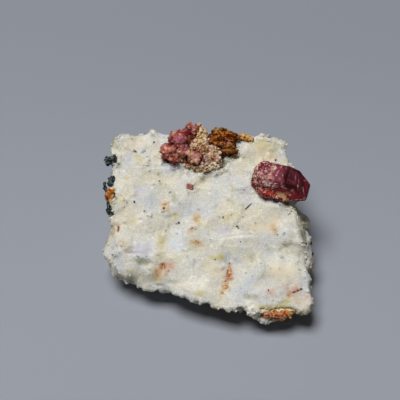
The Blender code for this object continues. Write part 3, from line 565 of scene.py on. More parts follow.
# The same on each grown piece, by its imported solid
CRYSTAL_MARKS = {
    "ruby_crystal": {
        Tint.BRICK: (
            (16.9, 3.3, 16.3, 0.13, 0.76, 0.45, 8), (17.4, 2.9, 15.5, 0.1, 0.68, 0.45, 12),
            (16.2, 3, 15.3, 0.15, 0.46, 0.4), (17.7, 3.7, 16.5, 0.1, 0.46, 0.35, 6),
        ),
        Tint.GARNET: (
            (11, 5.9, 17.6, 2.47, 2.28, 0.7), (13.4, 5, 17.5, 1.14, 1.71, 1),
            (11.8, 3.9, 15.5, 1.52, 0.95, 0.6),
        ),
        Tint.WINE: ((17.2, 5, 17.2, 1.71, 2.47, 1.3), (15.3, 6.5, 17.7, 1.14, 0.95, 1)),
        Tint.CRIMSON: (
            (10.7, 8, 17.9, 1.04, 0.8, 0.9), (18.6, 4.4, 16.4, 0.42, 1.52, 0.8),
            (18.2, 2.7, 14.7, 0.57, 1.14, 0.8), (14.2, 3.3, 15.4, 0.95, 0.46, 0.8),
            (16.6, 2.6, 14.7, 1.71, 0.76, 0.9),
        ),
        Tint.ROSE: (
            (10, 5.8, 17.4, 0.95, 1.43, 0.85), (11.3, 4.8, 17.3, 1.14, 1.43, 0.8),
            (12, 6.5, 17.7, 0.68, 0.87, 0.6), (15.9, 3.1, 15.9, 0.32, 0.36, 1),
            (18.2, 2.5, 14.1, 0.27, 0.42, 0.7), (10.2, 4.6, 16.1, 0.76, 0.76, 0.6),
            (12.7, 3.8, 16.2, 0.76, 0.38, 0.5),
        ),
        # BLUSH is partly the pale grains of the coat at the left end, partly painted glints on the faces
        Tint.BLUSH: (
            (10.7, 4.7, 16.9, 0.27, 0.46, 0.95, 20), (11.3, 4.3, 16.2, 0.68, 0.53, 1, -10),
            (9.4, 7.3, 17.3, 0.23, 0.23, 0.8), (12.6, 7, 17.9, 0.46, 0.49, 0.9, -30),
            (12.9, 5.3, 17.6, 0.13, 0.13, 1), (14.1, 5.3, 17.5, 0.08, 0.3, 0.5),
            (12.8, 4, 16.7, 0.36, 0.1, 0.9), (14.1, 3.6, 16.5, 0.36, 0.1, 0.6, 25),
            (14.5, 3.4, 16.1, 0.57, 0.17, 0.4, -20), (18, 3, 15.8, 0.1, 0.84, 0.5, 12),
            (10.2, 6.3, 17.6, 0.15, 0.15, 0.8), (11.7, 5.6, 17.5, 0.34, 0.11, 0.7),
            (11, 6.5, 17.7, 0.19, 0.11, 0.7), (16.9, 3.4, 16.7, 0.1, 0.3, 0.4),
            (15.5, 2.8, 14.8, 0.23, 0.1, 0.8, 20), (17.6, 2.4, 13.9, 0.34, 0.1, 0.7, 20),
        ),
        Tint.SAND: (
            (9, 6.2, 16, 0.38, 1.52, 0.9), (12.4, 7.3, 17.9, 0.49, 0.57, 0.7),
            (13.8, 3, 14.5, 1.14, 0.57, 0.8, -14), (10, 4.3, 14.9, 0.49, 0.27, 0.8, -30),
            (15.7, 2.4, 13.6, 0.57, 0.15, 1, 25), (16.8, 2.4, 13.9, 0.38, 0.11, 0.8, 10),
            (14.8, 2.6, 13.7, 0.68, 0.38, 0.9, -20), (13, 3, 14.1, 0.49, 0.23, 0.8),
            (9.8, 8.5, 16.7, 0.3, 0.3, 0.6),
        ),
        # VIOLET streaks are painted sheen, where the frosted top faces reflect the lamp
        Tint.VIOLET: (
            (13.9, 7.1, 18, 0.17, 0.46, 0.9, -25), (13.3, 6.1, 17.8, 0.17, 0.49, 0.9, -35),
            (13, 5.4, 17.6, 0.11, 0.3, 0.7, -20), (13.5, 4.6, 17.4, 0.27, 0.3, 0.5),
            (13.8, 3.8, 16.9, 0.19, 0.38, 0.4), (16.5, 5.1, 17.2, 0.1, 0.61, 0.5, -6),
            (17.1, 4.3, 17, 0.1, 0.49, 0.5), (18.3, 4.7, 16.8, 0.3, 0.1, 0.5),
            (14.8, 6.8, 17.9, 0.1, 0.34, 0.4, -20),
        ),
        Tint.MAROON: (
            (15.1, 4.7, 17.2, 0.95, 2, 1.2), (15.8, 3.3, 16.5, 0.95, 0.76, 0.8),
            (16.9, 6.4, 17.6, 1.52, 0.49, 1.4, -20), (15, 8.9, 16.2, 0.95, 0.3, 1.2, -14),
            (13.2, 10.1, 15.5, 1.14, 0.23, 0.8, -8), (10.1, 5.3, 17.4, 0.17, 0.13, 0.8),
            (11, 5.6, 17.5, 0.27, 0.13, 0.8), (11.8, 4.5, 17.2, 0.3, 0.21, 0.9),
            (9.6, 5.3, 15.9, 0.15, 0.27, 0.7), (12.1, 3.9, 15.8, 0.46, 0.19, 0.7),
            (10.6, 4.3, 15.4, 0.34, 0.15, 0.6), (17.7, 3.9, 16.7, 0.19, 0.95, 0.6),
            (17.1, 2.8, 15.4, 0.3, 0.57, 0.5), (18.6, 2.7, 13.3, 0.27, 0.27, 0.6),
        ),
        # EMBER here is a painted glow: light shining through the crystal near its lower left end
        Tint.EMBER: (
            (10.9, 3.8, 14.4, 0.95, 0.65, 0.95, -30), (11.8, 3.6, 14.7, 0.68, 0.57, 1),
            (12.7, 3.2, 14.4, 0.57, 0.46, 0.8), (11.7, 3.4, 14, 0.95, 0.27, 0.9, -8),
        ),
        Tint.BRONZE: (
            (14.2, 2.9, 14.2, 0.76, 0.27, 0.6, -14), (15.1, 3, 15.1, 0.46, 0.3, 0.6),
            (14.8, 2.6, 13.7, 0.46, 0.23, 0.6, -20), (13.1, 3.3, 15, 0.3, 0.19, 0.6),
        ),
    },
    "ruby_cluster": {
        Tint.GARNET: ((-5, 16.4, 17.4, 2.2, 1.6, 0.85), (-8.4, 13.4, 17, 1, 1.2, 0.6)),
        Tint.WINE: ((-5.6, 16.4, 16.2, 1.1, 0.8, 0.8), (-4, 17, 17.6, 0.6, 0.9, 0.6)),
        Tint.BRICK: ((-7.4, 10.9, 17.9, 2.09, 1.71, 0.9), (-7.2, 10.1, 16, 1.71, 0.57, 0.7, -12)),
        Tint.CRIMSON: (
            (-7.8, 10.8, 15.7, 0.95, 0.3, 0.8, -14), (-6.2, 9.9, 15.9, 0.95, 0.27, 0.8, -14),
            (-3.6, 14.6, 19.3, 0.95, 0.65, 0.9), (-5.1, 14.4, 19.8, 0.76, 0.3, 0.5, 10),
            (-8.4, 10.7, 16.8, 0.3, 0.23, 0.6),
        ),
        # SALMON spots are painted highlights on the rounded crystals
        Tint.SALMON: (
            (-6.1, 12, 17.2, 0.53, 0.27, 0.9), (-6.6, 11, 17.1, 0.53, 0.19, 0.9),
            (-8.1, 12.1, 17.8, 0.49, 0.38, 0.8), (-5.4, 11.1, 17.7, 0.23, 0.46, 0.7),
            (-7.9, 10.7, 17.2, 0.27, 0.27, 0.7), (-5.3, 14, 19.7, 0.23, 0.23, 0.6),
            (-7.2, 11.6, 18.1, 0.27, 0.23, 0.7), (-8.5, 11.3, 17.5, 0.23, 0.27, 0.6),
            (-7, 10.3, 16.6, 0.3, 0.19, 0.6), (-6, 10.6, 16.6, 0.27, 0.19, 0.6),
        ),
        Tint.PLUM: (
            (-5.7, 13.1, 19.2, 1.33, 1.03, 0.9), (-4.1, 12.1, 18.1, 0.76, 1.33, 0.8),
            (-4.5, 13.1, 19.2, 0.76, 0.57, 0.7),
        ),
        # VIOLET dots are painted highlights in the upper lump
        Tint.VIOLET: (
            (-6, 12.9, 19.1, 0.23, 0.19, 0.8), (-5.2, 13.2, 19.4, 0.19, 0.23, 0.8),
            (-4.4, 12.8, 18.9, 0.19, 0.27, 0.8), (-4.5, 13.5, 19.5, 0.25, 0.19, 0.7),
            (-6.5, 12.7, 18.4, 0.19, 0.15, 0.7), (-4, 13.1, 17.7, 0.15, 0.23, 0.7),
            (-5.5, 12.4, 18.6, 0.15, 0.15, 0.6), (-4.3, 11.6, 17.8, 0.15, 0.23, 0.6),
        ),
        Tint.UMBER: ((-4.1, 15.6, 19.8, 0.95, 0.27, 0.8), (-6.9, 13.3, 19, 0.23, 0.68, 0.5)),
        Tint.MAROON: (
            (-5.4, 12.6, 19.1, 0.19, 0.15, 0.7), (-3.1, 14.3, 18.8, 0.3, 0.23, 0.6),
            (-5.9, 12.4, 18.5, 0.27, 0.15, 0.7), (-4.7, 12.5, 18.4, 0.15, 0.3, 0.5),
        ),
        Tint.SAND: (
            (-4.6, 11.5, 15.6, 1.14, 0.87, 0.9), (-3.4, 11.3, 17.1, 0.95, 0.76, 1),
            (-2.8, 10, 16.7, 1.14, 0.76, 1), (-5.4, 11.1, 15.2, 0.76, 0.46, 0.9, -14),
            (-1.6, 10, 15.8, 0.76, 0.76, 1), (-3.2, 14.4, 17.3, 0.57, 0.76, 0.8),
        ),
        Tint.ROSE: (
            (-2.4, 10.7, 17, 0.95, 0.65, 0.9), (-4, 11, 15.6, 0.38, 0.3, 0.7),
            (-1.6, 10, 16.4, 0.57, 0.38, 0.8),
        ),
        Tint.CREAM: (
            (-3.5, 11.7, 17.3, 0.27, 0.19, 0.8), (-2.3, 10.3, 16.8, 0.19, 0.15, 0.8),
            (-4.3, 10.9, 17, 0.17, 0.15, 0.7),
        ),
    },
    "mica_crust": {
        # The first BLUSH row, at the top, is a painted highlight; the rest are pale grains
        Tint.BLUSH: (
            (-2, 17, 18.5, 0.68, 0.3, 1), (-0.7, 10.6, 16.7, 0.57, 0.27, 1),
            (-1.2, 10.4, 15.3, 0.46, 0.3, 0.8), (-0.1, 10.1, 15.9, 0.42, 0.38, 1, -30),
            (-1.4, 12.7, 15.5, 0.32, 0.25, 0.9), (2.1, 11, 16.6, 0.3, 0.27, 0.8),
            (0.4, 9.5, 15.5, 0.27, 0.23, 0.9), (-1.1, 12.4, 15, 0.23, 0.19, 0.8),
        ),
        Tint.CREAM: (
            (1.5, 9.8, 15.4, 0.76, 0.68, 0.9), (0.7, 9.3, 15.1, 0.57, 0.46, 0.8),
            (2.3, 9.7, 14.4, 0.25, 0.21, 1), (-0.6, 13.3, 18.5, 0.25, 0.23, 0.8),
            (-3, 14, 17.7, 0.38, 0.3, 0.7), (-0, 11.5, 17, 0.27, 0.19, 0.7),
            (-1.1, 9.4, 15.4, 0.3, 0.23, 0.7),
        ),
        Tint.HONEY: (
            (-1.3, 14.7, 19.2, 0.87, 0.91, 0.9), (-1.5, 13.5, 18.4, 0.84, 0.65, 0.9, 20),
            (-0.3, 12.3, 17.8, 0.38, 0.27, 0.6),
        ),
        Tint.SAND: (
            (-2.7, 13.4, 18.1, 0.95, 0.95, 0.9), (-3.2, 13.1, 15.7, 0.57, 0.57, 1),
            (-4.3, 11, 15.6, 0.57, 0.38, 0.8), (-1.6, 12.6, 16.9, 0.76, 0.38, 0.6),
        ),
        Tint.ROSE: (
            (-2.5, 13.3, 15.3, 0.76, 0.72, 0.9), (-1.1, 10.6, 15.6, 0.57, 0.65, 0.9),
            (-0, 10.7, 16.7, 0.38, 0.46, 0.8, -30), (-0.9, 11.7, 16.4, 0.57, 0.27, 0.7),
        ),
        Tint.BRONZE: (
            (-0.9, 12.2, 17.6, 0.9, 0.9, 0.7), (-0.9, 12.2, 17.6, 1.33, 0.76, 0.85),
            (-2.6, 12.8, 16.4, 0.57, 0.23, 0.6), (-4.5, 10.5, 15.1, 0.76, 0.27, 0.6, -10),
        ),
        Tint.INK: ((-0.7, 10.3, 16.2, 0.32, 0.27, 1),),
        Tint.BRICK: ((1.2, 10.7, 16.4, 0.65, 0.42, 0.9), (0.5, 10.9, 16.8, 0.38, 0.23, 0.6)),
        Tint.UMBER: (
            (0.3, 12.1, 17.4, 0.53, 0.34, 0.7), (0.2, 14.4, 18.4, 0.46, 0.38, 0.6),
            (1, 10.4, 15.9, 0.65, 0.19, 0.6),
        ),
        Tint.PLUM: ((0.3, 13.1, 17.9, 0.61, 0.57, 0.5),),
        Tint.MOSS: (
            (-0.9, 8.9, 14.9, 2.28, 0.34, 0.7), (-2.2, 9.5, 15.3, 1.33, 0.3, 0.6),
            (-2.9, 9.8, 15.1, 0.76, 0.3, 0.5, -15), (1.2, 9.5, 13.9, 0.95, 0.27, 0.5, 10),
        ),
    },
    "phlogopite_mass": {
        Tint.MOSS: (
            (1.9, 15.6, 19.4, 0.87, 0.49, 0.9), (4.5, 15.3, 19.2, 0.61, 0.17, 0.7, -20),
            (4.6, 12.2, 15.3, 1.14, 0.3, 0.8),
        ),
        Tint.INK: ((3.9, 15.9, 19, 0.49, 0.17, 0.9, -15), (2.5, 12.8, 17.7, 0.3, 0.23, 0.8)),
        Tint.AMBER: (
            (2.8, 14.7, 19, 1.71, 0.25, 0.95, 2), (4.9, 14.6, 18.8, 1.33, 0.23, 0.95, -14),
            (5.9, 15, 17.8, 0.57, 0.19, 0.9, -15), (1.6, 15, 19, 0.57, 0.19, 0.7, 14),
        ),
        Tint.UMBER: (
            (0.9, 14.8, 18.2, 1.14, 0.27, 0.9, 14), (2.6, 14, 18.6, 1.52, 0.38, 0.9),
            (2, 12.9, 17.7, 0.95, 0.76, 0.9), (4.1, 14.3, 18.2, 1.33, 0.21, 0.9, -12),
            (5.5, 15.1, 16.5, 0.57, 0.57, 0.6), (3.4, 13.7, 17.9, 0.57, 0.27, 0.7),
        ),
        Tint.EMBER: (
            (3.6, 14.5, 18.5, 1.33, 0.13, 0.6, -8), (1.1, 14.2, 18.1, 0.49, 0.27, 0.5),
            (4.3, 13.7, 18, 0.57, 0.15, 0.4, -14),
        ),
        Tint.ROSE: (
            (3.6, 13.7, 18.3, 0.57, 0.19, 0.6, 30), (2.6, 13.5, 17.8, 0.27, 0.19, 0.6),
            (4.1, 13.2, 17.9, 0.49, 0.19, 0.6, -25),
        ),
        Tint.SAND: (
            (2.3, 13.3, 15.8, 0.46, 0.27, 0.7), (4.7, 13.6, 17.6, 0.57, 0.15, 0.6, -20),
            (3.6, 12.9, 17.2, 0.38, 0.19, 0.5),
        ),
        Tint.BRONZE: (
            (4.5, 12.4, 17, 1.33, 0.61, 0.9), (4.9, 13.3, 17.4, 0.76, 0.42, 0.7),
            (3.2, 12.6, 16.7, 0.76, 0.38, 0.6),
        ),
        Tint.CREAM: (
            (2.8, 12.9, 17.2, 0.23, 0.17, 0.7), (5.6, 13.5, 16.9, 0.23, 0.13, 0.6),
            (4.7, 12.2, 15.3, 0.27, 0.15, 0.7), (3.8, 12, 16.3, 0.23, 0.15, 0.6),
        ),
    },
    "limonite_tail": {
        Tint.HONEY: ((7.1, 15.7, 17, 1.52, 0.46, 0.9), (8.7, 15.3, 16.5, 0.57, 0.38, 0.9)),
        Tint.AMBER: ((6.5, 15.9, 16.9, 0.57, 0.19, 0.9, -12), (7.8, 15.5, 16.9, 0.38, 0.19, 0.8, -12)),
        Tint.CREAM: ((8.7, 15.5, 16.6, 0.34, 0.19, 0.7), (6.9, 16.3, 17.1, 0.38, 0.13, 0.7)),
        Tint.BRONZE: ((7.2, 15.5, 16.6, 0.49, 0.15, 0.7),),
    },
    "limonite_seam": {
        Tint.RUST: ((10.9, -17.6, 4.4, 1.52, 0.61, 1.5), (13.4, -17.7, 4.7, 1.9, 0.61, 1.5)),
        Tint.CREAM: (
            (10.1, -16.7, 5.1, 1.33, 0.57, 1.4), (13, -16.3, 4.6, 1.71, 0.49, 1.4),
            (15.1, -16.4, 5.1, 0.76, 0.42, 1), (12.1, -17.8, 4, 2.66, 0.3, 0.95),
            (15.7, -16.5, 4.9, 0.57, 0.19, 0.6), (14.9, -17.2, 4, 0.76, 0.19, 0.6, 20),
        ),
        Tint.SALMON: (
            (11, -17.4, 4.8, 1.14, 0.15, 0.8), (13.2, -17.3, 4.9, 0.95, 0.15, 0.7),
            (12.1, -17.6, 4.8, 0.15, 0.3, 0.6), (10.3, -17.3, 4.3, 0.15, 0.27, 0.5),
            (14, -17.7, 4.7, 0.13, 0.27, 0.5),
        ),
        Tint.UMBER: (
            (9.9, -17, 4.1, 0.95, 0.19, 1), (12.4, -17.8, 4, 1.33, 0.23, 1),
            (14.3, -17.6, 4.3, 0.95, 0.19, 0.9), (11.2, -17.6, 4.2, 0.15, 0.3, 0.5),
            (12.9, -17.6, 4.4, 0.15, 0.3, 0.4),
        ),
        Tint.BRONZE: ((15.3, -17, 4.4, 0.38, 0.61, 0.8),),
    },
    "limonite_grain": {
        Tint.AMBER: ((-18.5, 4.7, 12.8, 0.95, 1.14, 0.95),),
        Tint.UMBER: ((-19.2, 4.3, 12.4, 0.25, 0.57, 0.9), (-18.8, 5.5, 13.3, 0.38, 0.27, 0.6)),
        Tint.BLUSH: ((-18.5, 5.9, 13.2, 0.21, 0.19, 1),),
        Tint.HONEY: ((-18.2, 4.7, 12.4, 0.3, 0.57, 0.8),),
    },
    "amphibole_lower": {
        Tint.CRIMSON: ((-18.2, 2.9, 11.7, 0.23, 0.76, 0.6),),
        Tint.STEEL: ((-18.7, 3.2, 12, 0.27, 0.46, 0.6),),
    },
    "amphibole_upper": {
        Tint.STEEL: ((-19.3, 12.2, 15.1, 0.3, 0.23, 0.7), (-18.5, 11.7, 15.3, 0.27, 0.3, 0.6)),
    },
    "amphibole_middle": {
        Tint.STEEL: ((-18.7, 7.6, 13.6, 0.3, 0.65, 0.6),),
    },
}


@dataclass(frozen=True)
class Brush:
    """How marks are laid on a surface.

    Attributes:
        up: the direction of their height.
        depth: how far they reach into the surface in millimetres.
        grow: how far their soft edge reaches, as a share of their size.
        fade: width of the soft edge, as a share of that reach.
        ragged: how uneven their edge is.
        grit: width of the edge's unevenness in millimetres.
    """

    up: Triple
    depth: float
    grow: float = 1.6
    fade: float = 1.0
    ragged: float = 0.3
    grit: float = 1.0

    def lay(self, skin: Skin, marks: dict[Tint, tuple]) -> None:
        """Lays marks on a skin as a colour with its strength.

        Args:
            skin: what they are laid on.
            marks: for each tint, the rows of its marks.
        """
        points = skin.points
        up = unit(self.up)
        away = np.cross((1.0, 0.0, 0.0), up)
        colours = np.zeros((len(points), 4))
        edge = rough(points, self.grit, 3, 5.5) * self.ragged
        for kind, places in marks.items():
            colour = np.array(linear(kind.value)[:3])
            for x, y, z, wide, high, strength, *turn in places:
                offset = points - (x, y, z)
                right, rise, deep = offset[:, 0], offset @ up, offset @ away
                angle = math.radians(sum(turn))
                across = (right * math.cos(angle) + rise * math.sin(angle)) / (wide * self.grow)
                along = (rise * math.cos(angle) - right * math.sin(angle)) / (high * self.grow)
                reach = np.sqrt(across**2 + along**2 + (deep / self.depth) ** 2) + edge
                share = np.minimum(strength * smooth((1.0 - reach) / self.fade), 1.0)
                total = share + colours[:, 3] * (1 - share)
                weight = (share / np.maximum(total, 1e-6))[:, None]
                colours[:, :3] = colours[:, :3] * (1 - weight) + colour * weight
                colours[:, 3] = total
        skin.tint("tint_and_light", colours)


FACE_BRUSH = Brush(tuple(FACE_UPHILL), depth=1.6)
# On upright crystals a mark's height is as the photo sees it, from 50 degrees above the floor
CRYSTAL_BRUSH = Brush((0.0, 0.766, 0.643), depth=1.4, grow=1.35, fade=0.7, ragged=0.25, grit=0.5)


class Speck(Enum):
    """Grains strewn in the marble, by kind."""

    BLACK = "#1B1F1E"
    GREY = "#85887F"
    BROWN = "#6A4426"
    RED = "#7C1A28"


BLACK, GREY, BROWN, RED = Speck
# Single grains in the face: x, y, z, width, kind. A grain's number fixes its random shape
SPECKS = (
    (-17.18, 16.09, 15.94, 0.42, BLACK), (-10.44, 15.33, 15.86, 0.53, BLACK),
    (-8.74, 14.9, 15.79, 0.27, BLACK), (-13.95, 13.22, 15.54, 0.65, BLACK),
    (-12.13, 13.4, 15.52, 0.34, GREY), (-13.94, 3.2, 12.4, 0.61, BLACK), (-9.24, 7.1, 13.63, 0.57, BROWN),
    (-8.25, 1.84, 12.04, 0.57, BLACK), (-12.01, 1.36, 11.94, 0.42, GREY),
    (-5.45, -0.53, 10.64, 0.57, BLACK), (-5.88, -0.63, 10.48, 0.34, BLACK),
    (-6.14, 0.99, 11.41, 0.34, GREY), (-7.18, 5.04, 13.01, 0.38, GREY), (-1.83, 1.79, 11.65, 0.3, GREY),
    (3, 0.22, 11.49, 0.42, BLACK), (5.56, -1.73, 11.01, 0.49, BLACK), (5.82, -2.09, 10.92, 0.34, BROWN),
    (6.17, -4.55, 9.91, 0.36, BLACK), (13.18, 11.55, 14.96, 0.57, RED), (1.42, -7.79, 8.76, 0.36, BLACK),
    (4.03, -8.06, 7.81, 0.44, BLACK), (-8.43, -8.5, 8.12, 0.34, BROWN), (-8.05, -8.95, 7.82, 0.29, BROWN),
    (11.17, -13.37, 6.7, 0.46, RED), (4.41, 0.36, 11.84, 0.34, BROWN), (6.67, -0.07, 11.78, 0.3, BROWN),
    (2.81, -0.01, 11.35, 0.3, BROWN), (-14.27, -6.18, 9.26, 0.3, GREY), (-18.28, -6.73, 7.13, 0.34, GREY),
    (-2.2, -4.48, 10.01, 0.34, BROWN), (-1.73, -4.66, 9.81, 0.34, BROWN), (-2.92, -2.37, 11.27, 0.3, BROWN),
    (4.67, 5.23, 12.83, 0.3, BROWN), (12.7, -2, 10.45, 0.34, BROWN), (13.13, -3.19, 10.4, 0.34, BROWN),
    (-7.33, -9.71, 7.7, 0.34, RED), (3.4, -10.28, 6.9, 0.34, BROWN), (3.24, -11.36, 6.65, 0.34, BROWN),
    (-18.31, 11.02, 14.11, 0.61, BLACK), (-17.51, 11.06, 14.52, 0.49, GREY),
    (-17, 10.89, 14.48, 0.38, GREY), (-17.54, 10.47, 14.14, 0.38, GREY), (-18.3, 8.34, 13.79, 0.38, BLACK),
)
# Thin crystals in the face: one end, the other end, width, kind
SPLINTERS = (
    ((8.38, 2.95, 12.04), (7.03, 1.81, 11.57), 0.22, BLACK),
    ((15.61, -13.79, 6.53), (16.21, -13.54, 6.62), 0.26, RED),
    ((16.32, -13.54, 6.61), (16.84, -13.28, 6.7), 0.24, RED),
    ((16.99, -13.21, 6.73), (17.48, -13.02, 6.78), 0.32, RED),
    ((-16.95, -1.27, 10.71), (-16.83, -2.39, 10.45), 0.26, RED),
)


class MarbleFinish(Finish):
    """Coarse white calcite marble, broken and not polished: waxy translucent cleavage faces of single
    grains between sugary ones, so the eye gets soft white with small glints and clouded tints."""

    COOL, WHITE, WARM, YELLOWISH = "#D0D4D8", "#DEDCD2", "#E0DAC6", "#DCD5BA"
    SHADY, GLEAM, DULL = "#CBCBC4", "#FBF9F2", "#BDB9AA"
    CLEAR, WEATHERED = "#C4C6C8", "#B9AF90"
    RUST_DOT, PALE_DOT = "#74441E", "#F0D8B4"

    def __init__(self, name: str, depth: float) -> None:
        """Builds the tree.

        Args:
            name: the finish's name.
            depth: share of the light that goes in. It is nothing for a crumb, which is too thin.
        """
        super().__init__(name, "marble")
        shades = zip((0.32, 0.46, 0.56, 0.68), (self.COOL, self.WHITE, self.WARM, self.YELLOWISH))
        tone = self.shades(self.cloud(4.5, 3.0), shades)
        # Each calcite grain, 2 to 3 mm wide, has a slightly different shade
        tone = self.over(tone, self.SHADY, self.cells(2.4), 0.35)
        # Sugar grain of 0.2 mm
        sugar = self.cloud(0.22)
        tone = self.over(tone, self.GLEAM, self.ramp(sugar, 0.5, 0.68), 0.6)
        tone = self.over(tone, self.DULL, self.ramp(sugar, 0.5, 0.32), 0.42)
        # Clouds of clearer, greyer calcite in groups of grains
        clear = self.cloud(1.6, 4.0, (0.55, 1.3, 1.3))
        tone = self.over(tone, self.CLEAR, self.ramp(clear, 0.52, 0.68), 0.4)
        # Weathered broken sides are yellower and dirtier than the fresh face
        sides = self.carried("sides")["Fac"]
        tone = self.over(tone, self.WEATHERED, self.ramp(self.cloud(4.0, 5.0), 0.42, 0.62), sides)
        tint_and_light, share = self.tints_and_light(self.cloud(0.4, 3.0), 1.5, -0.05, 0.3)
        # Strong stains, which have little blue, are dotted with darker rust and pale grains
        blue = self.add("ShaderNodeSeparateColor", {0: tint_and_light}).outputs["Blue"]
        strong = self.sums("MULTIPLY", self.ramp(blue, 0.3, 0.1), self.ramp(share, 0.5, 0.85))
        dots = self.cloud(0.32)
        for colour, low, high in ((self.RUST_DOT, 0.5, 0.6), (self.PALE_DOT, 0.44, 0.36)):
            spots = self.sums("MULTIPLY", self.ramp(dots, low, high), strong)
            tint_and_light = self.over(tint_and_light, colour, spots, 0.7)
        # Every tenth grain of 0.35 mm glints
        glint = self.ramp(self.cells(0.35), 0.9, 0.93)
        # Cleavage faces of 1.3 and 0.4 mm between sugar, coarser on the broken sides
        large = self.sums("MULTIPLY", self.facets(1.3), 0.06)
        small = self.sums("MULTIPLY_ADD", self.facets(0.4), 0.08, large)
        coarse = self.sums("MULTIPLY_ADD", sides, 0.4, 0.6)
        height = self.sums("MULTIPLY", self.sums("MULTIPLY_ADD", sugar, 0.02, small), coarse)
        # Calcite has an IOR of 1.49 to 1.66, and light goes about a millimetre in
        self.shows(
            Base_Color=self.mix(share, tone, tint_and_light),
            Roughness=self.sums("MULTIPLY_ADD", glint, -0.45, 0.72),
            Normal=self.bump(height),
            IOR=1.55,
            Specular_IOR_Level=0.25,
            Subsurface_Weight=depth,
            Subsurface_Radius=(1.0, 0.95, 0.85),
            Subsurface_Scale=0.0008,
        )


class RubyFinish(Finish):
    """Natural ruby with its growth faces: glassy but frosted by fine growth lines, nearly black red
    where it is thick, mauve where a frosted face takes the light."""

    DEEP, FLAW, PIT = "#7C2430", "#7A2A34", "#2A0410"
    FROST, SHEEN = "#F4D6CC", "#E89AA4"

    def __init__(self, name: str, shades: tuple[str, str, str], pitted: float) -> None:
        """Builds the tree.

        Args:
            name: the finish's name.
            shades: the crystal's own colours from dark to light.
            pitted: how dark its pits are, from 0 to 1.
        """
        super().__init__(name, "ruby")
        tone = self.shades(self.cloud(1.2, 4.0), zip((0.36, 0.52, 0.68), shades))
        # Its inside is patchy, with darker red between the small crystals
        tone = self.over(tone, self.DEEP, self.ramp(self.cloud(0.9, 3.0), 0.46, 0.62), pitted)
        crumbs = self.cloud(0.26, 3.0)
        tint_and_light, share = self.tints_and_light(crumbs, 1.3, 0.05, 0.2)
        tone = self.mix(share, tone, tint_and_light)
        # Pits and flaws of 0.2 to 0.4 mm, and the pale grains of the coat between them
        pits = self.cloud(0.4, 2.5)
        coat = self.carried("coat")["Fac"]
        tone = self.over(tone, self.FLAW, self.ramp(pits, 0.5, 0.42), coat)
        tone = self.over(tone, self.FROST, self.ramp(pits, 0.58, 0.66), coat)
        tone = self.over(tone, self.PIT, self.ramp(pits, 0.42, 0.32), pitted)
        coarse = self.sums("MULTIPLY_ADD", coat, 0.12, 0.06)
        rise = self.sums("MULTIPLY", self.facets(0.45), coarse)
        # Corundum has an IOR of 1.77. Its frosted faces send back a weak rosy sheen, no clear reflection
        self.shows(
            Base_Color=tone,
            Roughness=self.sums("MULTIPLY_ADD", crumbs, 0.3, self.sums("MULTIPLY_ADD", coat, 0.1, 0.3)),
            Normal=self.bump(self.sums("MULTIPLY_ADD", pits, 0.04, rise)),
            IOR=1.77,
            Specular_IOR_Level=0.14,
            Specular_Tint=linear(self.SHEEN),
            Transmission_Weight=0.1,
        )


class GranularFinish(Finish):
    """A crust of many small grains, each with its own shade, so the eye gets a glittering mixture."""

    DUSK = "#8A7A6C"

    def __init__(
        self, name: str, slot: str, shades: tuple, size: float, gloss: float, pale: str, strewn: float
    ) -> None:
        """Builds the tree.

        Args:
            name: the finish's name.
            slot: the record's finish.
            shades: the mixture as places from 0 to 1 with their colours.
            size: grain width in millimetres.
            gloss: roughness of a clean grain.
            pale: colour of the palest grains.
            strewn: how strongly they stand out, from 0 to 1.
        """
        super().__init__(name, slot)
        grain = self.grain(size)
        patches = self.sums("SUBTRACT", self.cloud(1.8, 3.0), 0.5)
        tone = self.shades(self.sums("MULTIPLY_ADD", patches, 0.9, grain), shades)
        tint_and_light = self.carried("tint_and_light")
        tone = self.mix(tint_and_light["Alpha"], tone, tint_and_light["Color"])
        tone = self.over(tone, self.DUSK, self.ramp(grain, 0.35, 0.0), 0.5, "MULTIPLY")
        tone = self.over(tone, pale, self.ramp(grain, 0.78, 0.9), strewn)
        self.shows(
            Base_Color=tone,
            Roughness=self.sums("MULTIPLY_ADD", grain, 0.35, gloss),
            Normal=self.bump(self.sums("MULTIPLY", self.facets(size), 0.4)),
            IOR=1.56,
            Specular_IOR_Level=0.2,
        )


class LayeredFinish(Finish):
    """Phlogopite mica in books: smooth pearly sheets seen on edge as fine streaks, brown to golden."""

    SHEETS = ((0.3, "#54200A"), (0.45, "#7A380E"), (0.58, "#945214"), (0.72, "#B87A2A"))
    DUSK, FLAKE, PEARL = "#5A4436", "#E8B070", "#F0C080"

    def __init__(self, axis: np.ndarray) -> None:
        """Builds the tree for sheets that lie across this axis."""
        super().__init__("phlogopite_books", "phlogopite")
        along = self.vectors("DOT_PRODUCT", self.place, tuple(axis))["Value"]
        inputs = {"W": self.sums("MULTIPLY_ADD", self.cloud(1.5), 0.9, along), "Scale": 3.0, "Detail": 3.0}
        layer = self.add("ShaderNodeTexNoise", inputs, noise_dimensions="1D").outputs["Fac"]
        tint_and_light = self.carried("tint_and_light")
        share = self.sums("MULTIPLY", tint_and_light["Alpha"], 0.85)
        tone = self.mix(share, self.shades(layer, self.SHEETS), tint_and_light["Color"])
        grain = self.grain(0.35)
        tone = self.over(tone, self.DUSK, self.ramp(grain, 0.4, 0.0), 1.0, "MULTIPLY")
        tone = self.over(tone, self.FLAKE, self.ramp(grain, 0.84, 0.95), 0.4)
        rise = self.sums("MULTIPLY", self.facets(0.5), 0.15)
        self.shows(
            Base_Color=tone,
            Roughness=self.sums("MULTIPLY_ADD", grain, 0.25, 0.35),
            Normal=self.bump(self.sums("MULTIPLY_ADD", layer, 0.05, rise)),
            IOR=1.58,
            Specular_IOR_Level=0.15,
            Specular_Tint=linear(self.PEARL),
        )


